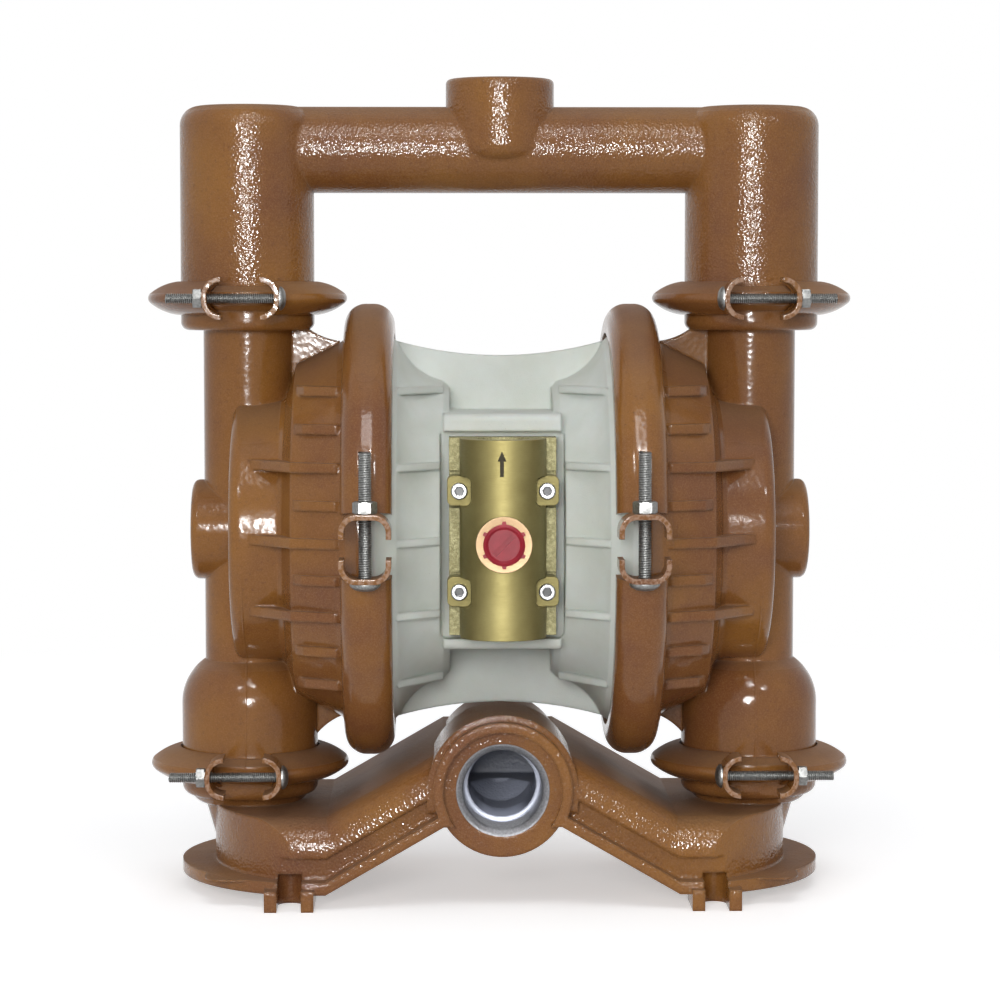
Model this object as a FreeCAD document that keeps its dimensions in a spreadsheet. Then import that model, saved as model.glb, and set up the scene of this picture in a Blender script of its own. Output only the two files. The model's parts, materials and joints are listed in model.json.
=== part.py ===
import FreeCAD, Part
import math
import os
from types import SimpleNamespace

import Sketcher

# Air operated double diaphragm pump, 1 1/2 inch class, millimetres.
# +X is to the right seen from the suction port, +Y runs to the exhaust side, +Z is up.
# The origin lies on the floor below the middle of the pump.

os.makedirs("parts", exist_ok=True)
doc = FreeCAD.newDocument("diaphragm_pump")

SIZES = {
    # Layout
    "axis_height": 225.0,          # diaphragm shaft above the floor
    "column_offset": 159.0,        # side columns from the middle
    "diaphragm_offset": 82.0,      # clamped diaphragm rims from the middle
    "inlet_drop": 148.0,           # inlet joints below the shaft
    "discharge_rise": 146.0,       # discharge joints above the shaft
    # Fits
    "seat_gap": 0.3,               # rest gap between pieces of different bodies
    "fit_gap": 0.2,                # radial gap of fixed pieces in their seats
    "running_gap": 0.06,           # radial gap of a sliding shaft or spool
    # Column joints, the same four times
    "joint_rim_radius": 54.0,
    "joint_rim_depth": 4.0,        # straight part of the rim
    "joint_slope_depth": 7.6,      # where the wedge ends
    "joint_neck_radius": 42.0,     # collar behind the rim
    "seat_radius": 41.0,
    "seat_half_height": 6.0,
    "seat_bore": 20.0,
    "seat_ring_section": 1.45,
    # Balls
    "ball_radius": 25.5,
    "ball_lift": 18.0,
    # Discharge manifold
    "leg_rise": 120.0,             # top of the legs above the joint
    "leg_edge": 12.0,
    "leg_bore": 36.0,
    "cross_radius": 27.0,
    "cross_bore": 21.0,
    "discharge_top": 137.0,        # port face above the joint
    "discharge_boss": 34.0,
    "discharge_thread": 20.9,
    "discharge_depth": 24.0,
    "discharge_throat": 18.0,
    "boss_foot": 34.0,             # boss bottom below the cross tube's top
    "port_bevel": 2.0,
    # Liquid chambers
    "pipe_radius": 28.0,
    "pipe_bore": 22.0,
    "collar_rise": 20.0,           # collar height under the discharge joint
    "dome_radius": 43.0,
    "dome_straight": 38.0,         # straight wall above the inlet joint
    "shoulder_rise": 28.0,
    "dome_bore": 37.0,
    "dome_bore_straight": 35.0,
    "hub_radius": 84.0,
    "hub_face": 167.0,
    "hub_root": 134.0,
    "hub_edge": 7.0,
    "end_boss_radius": 31.5,
    "end_boss_face": 194.0,
    "end_boss_edge": 4.5,
    "cone_outer_radius": 118.0,
    "cone_outer_at": 101.0,
    "cone_inner_radius": 105.0,
    "cone_inner_at": 128.0,
    "rim_radius": 131.0,
    "rim_straight": 4.0,
    "rim_slope_radius": 123.0,
    "rim_slope_depth": 11.0,
    "bead_thickness": 3.0,
    "cavity_radius": 108.0,
    "cavity_depth": 17.0,
    "cavity_floor_radius": 76.0,
    "cavity_floor_at": 126.0,
    "passage_radius": 46.0,
    "rib_thickness": 6.0,
    "rib_pitch": 22.4,             # height from one rib to the next
    "rib_reach": 154.0,            # outer end of the long ribs
    "short_rib_reach": 126.0,
    "web_thickness": 8.0,
    # Centre section
    "air_cone_radius": 118.0,
    "air_cone_at": 64.0,
    "air_waist_radius": 94.0,
    "air_waist_at": 36.0,
    "air_cavity_radius": 105.0,
    "air_cavity_floor": 43.0,
    "air_cavity_floor_radius": 62.0,
    "air_rib_height": 2.4,
    "air_rib_width": 4.5,
    "block_top": 76.0,
    "block_bottom": 68.0,
    "block_front": 79.0,
    "block_rear": 78.0,
    "block_round": 4.0,
    "pocket_round": 4.0,
    "pocket_half_width": 38.0,
    "pocket_margin": 3.5,          # pocket beyond the valve's ends
    "pocket_floor": 69.0,
    "web_top": 110.0,
    "web_end": 119.0,
    "web_end_at": 65.0,
    "centre_web_thickness": 9.0,
    # Air valve
    "gasket_thickness": 1.5,
    "valve_top": 62.0,
    "valve_bottom": 58.0,
    "valve_radius": 26.0,
    "valve_axis": 96.6,            # spool bore in front of the middle
    "valve_half_width": 32.5,
    "valve_base": 12.0,
    "valve_rail_width": 6.5,
    "valve_rail_height": 5.0,
    "valve_rail_end": 20.0,        # length of the end pieces of the rails
    "valve_port_radius": 16.8,
    "valve_port_face": 125.5,
    "air_thread": 9.3,
    "spool_bore": 16.0,
    "spool_travel": 20.0,
    "cap_thickness": 9.0,
    "cap_inset": 3.5,
    "lug_spread": 26.5,            # screws from the valve's middle
    "lug_rise": 30.5,
    "lug_half_width": 7.2,
    "lug_half_height": 9.0,
    "lug_round": 3.5,
    "lug_face": 98.0,
    "screw_radius": 2.6,
    "screw_head_radius": 5.0,
    "screw_head_height": 5.0,
    "screw_socket": 5.0,
    "screw_nut_flat": 8.0,
    "screw_nut_height": 4.5,
    "exhaust_bore": 10.0,
    "exhaust_rise": 40.0,
    "plug_cap_radius": 12.4,
    "plug_cap_height": 3.4,
    "plug_stem_length": 11.0,
    "plug_tab": 1.7,
    "snap_ring_thickness": 1.5,
    "cap_ring_section": 1.1,
    # Shaft group
    "shaft_radius": 11.0,
    "shaft_end": 66.0,
    "stud_radius": 6.0,
    "bushing_wall": 3.5,
    "bushing_end": 30.0,
    "inner_piston_radius": 48.0,
    "outer_piston_radius": 52.0,
    "outer_piston_depth": 16.0,
    "diaphragm_thickness": 4.0,
    "convolution_depth": 11.0,
    # Large clamp bands
    "band_radius": 142.5,
    "band_half_width": 15.5,
    "band_round": 13.0,
    "band_sheet": 3.5,
    "band_edge_gap": 1.2,          # clamp edge over the foot of the wedge
    "band_gap": 20.5,              # half the gap between the ears
    "ear_face": 159.0,
    "ear_lip": 14.5,
    "ear_sheet": 3.2,
    "band_bolt_radius": 4.0,
    "band_bolt_at": 150.5,
    "band_bolt_end": 57.0,
    "band_bolt_head": 9.0,
    "band_nut_flat": 12.7,
    "band_nut_height": 7.2,
    # Small clamp bands
    "ring_radius": 62.0,
    "ring_half_height": 10.5,
    "ring_round": 34.0,
    "ring_sheet": 3.0,
    "ring_gap": 20.5,
    "ring_ear_face": 76.0,
    "ring_ear_lip": 8.5,
    "ring_ear_half": 13.0,
    "ring_bolt_radius": 3.15,
    "ring_bolt_at": 68.0,
    "ring_bolt_end": 46.0,
    "ring_bolt_head": 7.3,
    "ring_nut_flat": 11.1,
    "ring_nut_height": 5.6,
    # Inlet manifold
    "foot_height": 9.0,
    "plate_thickness": 7.5,
    "foot_centre": 130.0,
    "foot_half_length": 97.0,
    "foot_reach": 72.0,            # plate beyond the foot's centre
    "plinth_half_length": 85.0,
    "plinth_reach": 51.0,
    "body_half_length": 89.0,
    "leg_foot_at": 108.0,          # where the plate starts to climb
    "leg_slope": 30.0,
    "suction_face": 90.0,
    "suction_boss": 41.0,
    "suction_thread": 24.2,
    "suction_bevel": 4.0,
    "suction_depth": 28.0,
    "suction_throat": 21.0,
    "arch_radius": 42.3,
    "arch_inner": 36.3,
    "hood_radius": 46.0,
    "hood_rear": 25.0,
    "duct_half_width": 34.0,
    "column_bore": 20.0,
    "foot_lug_half": 15.0,
    "foot_lug_front": 104.0,
    "foot_lug_root": 66.0,
    "notch_half": 7.35,
    "notch_depth": 30.0,
    "notch_height": 20.0,
    # Exhaust side
    "rear_plate_thickness": 11.0,
    "rear_plate_half_width": 33.0,
    "rear_boss_radius": 19.0,
    "rear_boss_depth": 12.0,
    "exhaust_thread": 12.2,
    "muffler_radius": 23.0,
    "muffler_length": 62.0,
}

sheet = doc.addObject("Spreadsheet::Sheet", "sizes")
for row, (alias, amount) in enumerate(SIZES.items(), start=1):
    sheet.set("A%d" % row, alias)
    sheet.set("B%d" % row, str(amount))
    sheet.setAlias("B%d" % row, alias)
doc.recompute()


class Size:
    """A length that carries the text of its expression and its present number."""

    def __init__(self, text, number):
        self.text = text
        self.number = float(number)

    def __add__(self, other):
        return joined(self, "+", other, self.number + as_size(other).number)

    def __radd__(self, other):
        return as_size(other) + self

    def __sub__(self, other):
        return joined(self, "-", other, self.number - as_size(other).number)

    def __rsub__(self, other):
        return as_size(other) - self

    def __mul__(self, other):
        return joined(self, "*", other, self.number * as_size(other).number)

    def __rmul__(self, other):
        return as_size(other) * self

    def __truediv__(self, other):
        return joined(self, "/", other, self.number / as_size(other).number)

    def __neg__(self):
        return Size("(-%s)" % self.text, -self.number)


def as_size(value):
    """Give a plain number the form of a size."""
    if isinstance(value, Size):
        return value
    return Size("(%.6f)" % value, value)


def joined(left, sign, right, number):
    """Write one step of a sum."""
    return Size("(%s %s %s)" % (left.text, sign, as_size(right).text), number)


def root(value):
    """Square root of a size."""
    return Size("sqrt(%s)" % value.text, math.sqrt(value.number))


def sine(angle):
    """Sine of an angle in degrees."""
    return Size("sin(%s * 1 deg)" % angle.text, math.sin(math.radians(angle.number)))


def cosine(angle):
    """Cosine of an angle in degrees."""
    return Size("cos(%s * 1 deg)" % angle.text, math.cos(math.radians(angle.number)))


def half_gap_angle(gap, radius):
    """Angle in degrees at which a half gap meets a radius."""
    ratio = gap / radius
    number = math.degrees(math.asin(ratio.number))
    return Size("(asin(%s) / 1 deg)" % ratio.text, number)


def as_angle(value):
    """Write a plain size as an angle for an angle property."""
    return value.text + " * 1 deg"


dim = SimpleNamespace(**{name: Size("sizes." + name, sheet.get(name)) for name in SIZES})

# Heights above the floor of the four joint planes and the diaphragm faces
discharge_height = dim.axis_height + dim.discharge_rise
inlet_height = dim.axis_height - dim.inlet_drop

# Heights in the inlet manifold, as shares of the way from its plate up to the rim of the joint
plate_top = dim.foot_height + dim.plate_thickness
inlet_span = inlet_height - dim.joint_slope_depth - plate_top
crease_height = plate_top + inlet_span * 0.2552
leg_top_height = plate_top + inlet_span * 0.69
collar_foot = plate_top + inlet_span * 0.7656
suction_height = plate_top + inlet_span * 1.04915
duct_wall = inlet_span * 0.0945
bead_half = dim.bead_thickness / 2
liquid_face = dim.diaphragm_offset + bead_half
air_face = dim.diaphragm_offset - bead_half
pieces = {}


def bind(thing, prop, value):
    """Tie a property to a size."""
    thing.setExpression(prop, as_size(value).text)


def new_body(label, across=0, depth=0, height=0):
    """Start a body whose own origin stands at the given place."""
    body = doc.addObject("PartDesign::Body", label)
    body.Label = label
    for axis, value in zip("xyz", (across, depth, height)):
        bind(body, ".Placement.Base." + axis, value)
    return body


def origin_plane(body, role):
    """Find one of the body's own origin planes."""
    return [plane for plane in body.Origin.OriginFeatures if plane.Role == role][0]


def arc_between(start, end, radius):
    """Arc of the shorter way round; a positive radius turns left."""
    ax, ay = start
    bx, by = end
    middle = ((ax + bx) / 2, (ay + by) / 2)
    half = math.hypot(bx - ax, by - ay) / 2
    rise = math.sqrt(max(radius * radius - half * half, 0.0))
    side = 1 if radius > 0 else -1
    normal = (-(by - ay) / (2 * half) * side, (bx - ax) / (2 * half) * side)
    centre = (middle[0] + normal[0] * rise, middle[1] + normal[1] * rise)
    angles = [math.atan2(point[1] - centre[1], point[0] - centre[0]) for point in (start, end)]
    if side < 0:
        angles.reverse()
    circle = Part.Circle(FreeCAD.Vector(*centre, 0), FreeCAD.Vector(0, 0, 1), abs(radius))
    return Part.ArcOfCircle(circle, angles[0], angles[1])


def set_plane(sketch, body, role, shift, tilt, tilt_axis):
    """Attach a sketch to an origin plane, moved along its normal or tilted."""
    sketch.AttachmentSupport = [(origin_plane(body, role), "")]
    sketch.MapMode = "FlatFace"
    if shift is not None:
        bind(sketch, ".AttachmentOffset.Base.z", shift)
    if tilt is not None:
        sketch.AttachmentOffset = FreeCAD.Placement(
            FreeCAD.Vector(), FreeCAD.Rotation(FreeCAD.Vector(*tilt_axis), 1.0))
        sketch.setExpression(".AttachmentOffset.Rotation.Angle", as_angle(tilt))


def pin_point(sketch, edge, end, corner):
    """Hold one end of an edge at a corner measured from the sketch's origin."""
    for kind, value in zip(("DistanceX", "DistanceY"), corner):
        value = as_size(value)
        index = sketch.addConstraint(Sketcher.Constraint(kind, -1, 1, edge, end, value.number))
        if "sizes" in value.text:
            sketch.setExpression("Constraints[%d]" % index, value.text)


def outline(body, name, role, corners, shift=None, tilt=None, tilt_axis=(1, 0, 0)):
    """Draw a closed outline; a third value bends the edge that leaves the corner."""
    sketch = body.newObject("Sketcher::SketchObject", name)
    set_plane(sketch, body, role, shift, tilt, tilt_axis)
    numbers = [(as_size(corner[0]).number, as_size(corner[1]).number) for corner in corners]
    edge_ends = []
    for index, corner in enumerate(corners):
        start = numbers[index]
        end = numbers[(index + 1) % len(numbers)]
        if len(corner) == 3:
            radius = as_size(corner[2])
            sketch.addGeometry(arc_between(start, end, radius.number), False)
            edge_ends.append((1, 2) if radius.number > 0 else (2, 1))
        else:
            sketch.addGeometry(
                Part.LineSegment(FreeCAD.Vector(*start, 0), FreeCAD.Vector(*end, 0)), False)
            edge_ends.append((1, 2))
    for index, corner in enumerate(corners):
        following = (index + 1) % len(corners)
        sketch.addConstraint(Sketcher.Constraint(
            "Coincident", index, edge_ends[index][1], following, edge_ends[following][0]))
        pin_point(sketch, index, edge_ends[index][0], corner[:2])
        if len(corner) == 3:
            radius = as_size(corner[2])
            index_of_radius = sketch.addConstraint(
                Sketcher.Constraint("Radius", index, abs(radius.number)))
            text = radius.text if radius.number > 0 else (-radius).text
            sketch.setExpression("Constraints[%d]" % index_of_radius, text)
    return sketch


def turning_axis(sketch, across=None):
    """Add a construction line beside the outline, as its turning axis."""
    place = as_size(across)
    line = Part.LineSegment(FreeCAD.Vector(place.number, 0, 0), FreeCAD.Vector(place.number, 10, 0))
    index = sketch.addGeometry(line, True)
    pin_point(sketch, index, 1, (across, 0))
    pin_point(sketch, index, 2, (across, 10))
    return (sketch, ["Axis0"])


def circles(body, name, role, rounds, shift=None):
    """Draw full circles, each given by centre and radius."""
    sketch = body.newObject("Sketcher::SketchObject", name)
    set_plane(sketch, body, role, shift, None, None)
    for across, up, radius in rounds:
        radius = as_size(radius)
        centre = FreeCAD.Vector(as_size(across).number, as_size(up).number, 0)
        index = sketch.addGeometry(
            Part.Circle(centre, FreeCAD.Vector(0, 0, 1), radius.number), False)
        pin_point(sketch, index, 3, (across, up))
        at = sketch.addConstraint(Sketcher.Constraint("Radius", index, radius.number))
        sketch.setExpression("Constraints[%d]" % at, radius.text)
    return sketch


def turn(body, sketch, axis, cut=False, angle=None):
    """Turn an outline about an axis into the body, or out of it."""
    kind = "PartDesign::Groove" if cut else "PartDesign::Revolution"
    feature = body.newObject(kind, "turned_" + sketch.Name)
    feature.Profile = sketch
    feature.ReferenceAxis = axis if isinstance(axis, tuple) else (sketch, [axis])
    feature.Angle = 360.0
    if angle is not None:
        feature.Midplane = True
        feature.setExpression("Angle", as_angle(angle))
    return feature


def push(body, sketch, length, cut=False, middle=False, backwards=False):
    """Extrude a sketch along its normal, to both sides or against it."""
    kind = "PartDesign::Pocket" if cut else "PartDesign::Pad"
    feature = body.newObject(kind, "pushed_" + sketch.Name)
    feature.Profile = sketch
    bind(feature, "Length", length)
    feature.Midplane = middle
    feature.Reversed = backwards
    return feature


def around(body, feature, axis_sketch, axis, angle, count):
    """Repeat a feature about an axis of its sketch."""
    pattern = body.newObject("PartDesign::PolarPattern", "around_" + feature.Name)
    pattern.Originals = [feature]
    pattern.Axis = (axis_sketch, [axis])
    pattern.Occurrences = count
    if angle is None:
        pattern.Angle = 360.0
    else:
        pattern.setExpression("Angle", as_angle(angle))
    body.Tip = pattern
    return pattern


def both_sides(body, features, role):
    """Mirror features across one of the body's origin planes."""
    mirror = body.newObject("PartDesign::Mirrored", "mirrored_" + features[0].Name)
    mirror.Originals = features
    mirror.MirrorPlane = (origin_plane(body, role), [""])
    body.Tip = mirror
    return mirror


def rounded(body, base, radius, test):
    """Round the edges of the last feature that pass a test."""
    doc.recompute()
    names = ["Edge%d" % (number + 1) for number, edge in enumerate(base.Shape.Edges) if test(edge)]
    fillet = body.newObject("PartDesign::Fillet", "rounded_" + base.Name)
    fillet.Base = (base, names)
    bind(fillet, "Radius", radius)
    body.Tip = fillet
    return fillet


def keep(thing, label=None):
    """List a finished sub-part."""
    if label:
        thing.Label = label
    pieces[thing.Label] = thing
    return thing


def mirrored(label, source, normal, base=(0, 0, 0)):
    """Copy a sub-part across a plane through a point."""
    copy = doc.addObject("Part::Mirroring", label)
    copy.Label = label
    copy.Source = source
    copy.Normal = FreeCAD.Vector(*normal)
    for axis, value in zip("xyz", base):
        bind(copy, ".Base." + axis, value)
    return copy


def group(label, members):
    """Hold several loose solids in one sub-part."""
    compound = doc.addObject("Part::Compound", label)
    compound.Label = label
    compound.Links = members
    return compound


def left_right(label, source):
    """A sub-part and its mirror image to the right, in one group."""
    return group(label, [source, mirrored(label + "_right", source, (1, 0, 0))])


def joint_rim(side, collar_radius, level=0):
    """Corners of a clamped rim, from the axis outwards; side is 1 for a wall above the joint."""
    return [
        (0, level),
        (dim.joint_rim_radius, level),
        (dim.joint_rim_radius, level + dim.joint_rim_depth * side),
        (collar_radius + 4, level + dim.joint_slope_depth * side),
        (collar_radius, level + dim.joint_slope_depth * side),
    ]


def shifted(corners, across):
    """Move outline corners sideways."""
    return [(corner[0] + across,) + tuple(corner[1:]) for corner in corners]


def discharge_manifold():
    """Two hollow legs, the cross tube and the discharge port, one casting."""
    body = new_body("discharge_manifold", height=discharge_height)
    left = -dim.column_offset
    wall = joint_rim(1, dim.joint_neck_radius)
    top = [
        (dim.joint_neck_radius, dim.leg_rise - dim.leg_edge, dim.leg_edge),
        (dim.joint_neck_radius - dim.leg_edge, dim.leg_rise),
        (0, dim.leg_rise),
    ]
    sketch = outline(body, "leg_wall", "XZ_Plane", shifted(wall + top, left))
    leg = turn(body, sketch, turning_axis(sketch, left))
    both_sides(body, [leg], "YZ_Plane")
    tube_height = dim.leg_rise - dim.cross_radius
    sketch = circles(body, "cross_tube", "YZ_Plane", [(0, tube_height, dim.cross_radius)])
    push(body, sketch, dim.column_offset * 2, middle=True)
    foot = dim.leg_rise - dim.boss_foot
    sketch = outline(body, "port_boss", "XZ_Plane", [
        (0, foot),
        (dim.discharge_boss - 10, foot, 10),
        (dim.discharge_boss, foot + 10),
        (dim.discharge_boss, dim.discharge_top - 3, 3),
        (dim.discharge_boss - 3, dim.discharge_top),
        (0, dim.discharge_top),
    ])
    turn(body, sketch, "V_Axis")
    stop = dim.seat_half_height + ball_seat_rise + dim.ball_radius + dim.ball_lift + dim.seat_gap
    roof = dim.leg_rise - 7
    sketch = outline(body, "leg_hollow", "XZ_Plane", shifted([
        (0, -1),
        (dim.seat_radius + dim.fit_gap, -1),
        (dim.seat_radius + dim.fit_gap, dim.seat_half_height),
        (dim.leg_bore, dim.seat_half_height),
        (dim.leg_bore, roof - 8, 8),
        (dim.leg_bore - 8, roof),
        (8, roof),
        (6, stop),
        (0, stop),
    ], left))
    hollow = turn(body, sketch, turning_axis(sketch, left), cut=True)
    both_sides(body, [hollow], "YZ_Plane")
    sketch = circles(body, "cross_hollow", "YZ_Plane", [(0, tube_height, dim.cross_bore)])
    push(body, sketch, (dim.column_offset - dim.leg_bore + 6) * 2, cut=True, middle=True)
    sketch = outline(body, "port_hollow", "XZ_Plane", [
        (0, tube_height),
        (dim.discharge_throat, tube_height),
        (dim.discharge_throat, dim.discharge_top - dim.discharge_depth),
        (dim.discharge_thread, dim.discharge_top - dim.discharge_depth),
        (dim.discharge_thread, dim.discharge_top - dim.port_bevel),
        (dim.discharge_thread + dim.port_bevel, dim.discharge_top),
        (dim.discharge_thread + dim.port_bevel, dim.discharge_top + 1),
        (0, dim.discharge_top + 1),
    ])
    turn(body, sketch, "V_Axis", cut=True)
    return keep(body)


def front_of(radius, height):
    """Place in front of the shaft at which a level plane meets a radius."""
    return -root(radius * radius - height * height)


def chamber_rib(body, name, height, corners):
    """A level gusset rib in front of the bowl, from the clamped rim outwards."""
    rim = liquid_face + 6
    crest = [(-rim, dim.cone_outer_radius + 1), (-dim.cone_outer_at, dim.cone_outer_radius + 3.5)]
    inside = [(-rim, dim.cavity_radius + 4)]
    sketch = outline(body, name, "XY_Plane", [
        (across, front_of(radius, height)) for across, radius in crest + corners + inside], shift=height)
    return push(body, sketch, dim.rib_thickness, middle=True)


def chamber_ribs(body):
    """Long and short ribs in turn, level and evenly spaced, at the front and the rear."""
    long_corners = [
        (-dim.cone_inner_at, dim.cone_inner_radius + 6),
        (-(dim.rib_reach - 7), dim.hub_radius + 6),
        (-dim.rib_reach, dim.hub_radius + 0.5),
        (-dim.rib_reach, dim.hub_radius - 4),
        (-dim.hub_root, dim.hub_radius - 4),
    ]
    short_corners = [
        (-(dim.short_rib_reach - 5), dim.cone_inner_radius + 8),
        (-dim.short_rib_reach, dim.cone_inner_radius + 3),
        (-dim.short_rib_reach, dim.cone_inner_radius - 4),
    ]
    ribs = []
    for step in range(-4, 5):
        corners = long_corners if step in (-2, 0, 2) else short_corners
        ribs.append(chamber_rib(body, "rib_%d" % (step + 5), dim.rib_pitch * step, corners))
    both_sides(body, ribs, "XZ_Plane")


def liquid_chamber():
    """Bowl over the diaphragm, its column with the inlet ball dome, ribs and webs."""
    body = new_body("liquid_chamber_left", height=dim.axis_height)
    left = -dim.column_offset
    sketch = outline(body, "bowl_wall", "XZ_Plane", [
        (-liquid_face, 0),
        (-liquid_face, dim.rim_radius),
        (-(liquid_face + dim.rim_straight), dim.rim_radius),
        (-(liquid_face + dim.rim_slope_depth), dim.rim_slope_radius),
        (-dim.cone_outer_at, dim.cone_outer_radius),
        (-dim.cone_inner_at, dim.cone_inner_radius),
        (-dim.hub_root, dim.hub_radius + 3),
        (-(dim.hub_root + 3), dim.hub_radius),
        (-(dim.hub_face - dim.hub_edge), dim.hub_radius, dim.hub_edge),
        (-dim.hub_face, dim.hub_radius - dim.hub_edge),
        (-dim.hub_face, dim.end_boss_radius),
        (-(dim.end_boss_face - dim.end_boss_edge), dim.end_boss_radius, dim.end_boss_edge),
        (-dim.end_boss_face, dim.end_boss_radius - dim.end_boss_edge),
        (-dim.end_boss_face, 0),
    ])
    turn(body, sketch, "H_Axis")
    bottom = -dim.inlet_drop
    top = dim.discharge_rise
    shoulder = dim.dome_radius - dim.pipe_radius
    shoulder_round = (shoulder * shoulder + dim.shoulder_rise * dim.shoulder_rise) / (shoulder * 2)
    collar = top - dim.collar_rise
    upper_rim = joint_rim(-1, dim.joint_neck_radius, top)
    upper_rim.reverse()
    sketch = outline(body, "column_wall", "XZ_Plane", shifted(
        joint_rim(1, dim.dome_radius, bottom) + [
            (dim.dome_radius, bottom + dim.dome_straight, shoulder_round),
            (dim.pipe_radius, bottom + dim.dome_straight + dim.shoulder_rise),
            (dim.pipe_radius, collar),
            (dim.joint_neck_radius - 5, collar, 5),
            (dim.joint_neck_radius, collar + 5),
        ] + upper_rim, left))
    turn(body, sketch, turning_axis(sketch, left))
    chamber_ribs(body)
    sketch = outline(body, "upper_web", "XZ_Plane", [
        (left + 20, dim.cone_inner_radius - 25),
        (left + 20, top - dim.collar_rise + 3),
        (left + dim.joint_neck_radius - 4, top - dim.collar_rise + 1, 40),
        (-dim.cone_outer_at, dim.cone_outer_radius + 1),
        (-dim.cone_outer_at, dim.cavity_radius + 6),
        (-dim.cone_inner_at, dim.cone_inner_radius - 8),
    ])
    push(body, sketch, dim.web_thickness, middle=True)
    sketch = outline(body, "lower_web", "XZ_Plane", [
        (left + 40, -(dim.cone_inner_radius - 8)),
        (left + 40, bottom + 20),
        (left + dim.dome_radius, bottom + 18, -40),
        (-dim.cone_outer_at, -(dim.cone_outer_radius + 1)),
        (-dim.cone_outer_at, -(dim.cavity_radius + 6)),
        (-dim.cone_inner_at, -(dim.cone_inner_radius - 8)),
    ])
    push(body, sketch, dim.web_thickness, middle=True)
    sketch = outline(body, "bowl_hollow", "XZ_Plane", [
        (-(liquid_face - 1), 0),
        (-(liquid_face - 1), dim.cavity_radius),
        (-(liquid_face + dim.cavity_depth), dim.cavity_radius),
        (-dim.cavity_floor_at, dim.cavity_floor_radius),
        (-(dim.cavity_floor_at + 3), dim.passage_radius),
        (left, dim.passage_radius),
        (left, 0),
    ])
    turn(body, sketch, "H_Axis", cut=True)
    bore_edge = bottom + ball_stop_rise
    seat = dim.seat_half_height
    hollow_width = dim.dome_bore - dim.pipe_bore
    hollow_rise = bore_edge - bottom - dim.dome_bore_straight
    hollow_round = (hollow_width * hollow_width + hollow_rise * hollow_rise) / (hollow_width * 2)
    sketch = outline(body, "column_hollow", "XZ_Plane", shifted([
        (0, bottom - 1),
        (dim.seat_radius + dim.fit_gap, bottom - 1),
        (dim.seat_radius + dim.fit_gap, bottom + seat),
        (dim.dome_bore, bottom + seat),
        (dim.dome_bore, bottom + dim.dome_bore_straight, hollow_round),
        (dim.pipe_bore, bore_edge),
        (dim.pipe_bore, top - seat),
        (dim.seat_radius + dim.fit_gap, top - seat),
        (dim.seat_radius + dim.fit_gap, top + 1),
        (0, top + 1),
    ], left))
    turn(body, sketch, turning_axis(sketch, left), cut=True)
    keep(body)
    keep(mirrored("liquid_chamber_right", body, (1, 0, 0)))


# Level ribs of the air chambers stand this share of the waist's radius apart
AIR_RIB_SHARE = 0.4766


def air_ribs(body):
    """Fine level ribs over the front and rear of both air chambers."""
    ribs = []
    waist = dim.air_waist_radius + dim.air_rib_height
    for step in range(-2, 3):
        height = dim.air_waist_radius * AIR_RIB_SHARE * step
        for name, side in (("left", -1), ("right", 1)):
            sketch = outline(body, "air_rib_%s_%d" % (name, step + 3), "XY_Plane", [
                (dim.air_cone_at * side, front_of(dim.air_cone_radius + 0.5, height)),
                (dim.air_waist_at * side, front_of(waist, height)),
                (dim.air_waist_at * side, 0),
                (dim.air_cone_at * side, 0),
            ], shift=height)
            ribs.append(push(body, sketch, dim.air_rib_width, middle=True))
    both_sides(body, ribs, "XZ_Plane")


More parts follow.
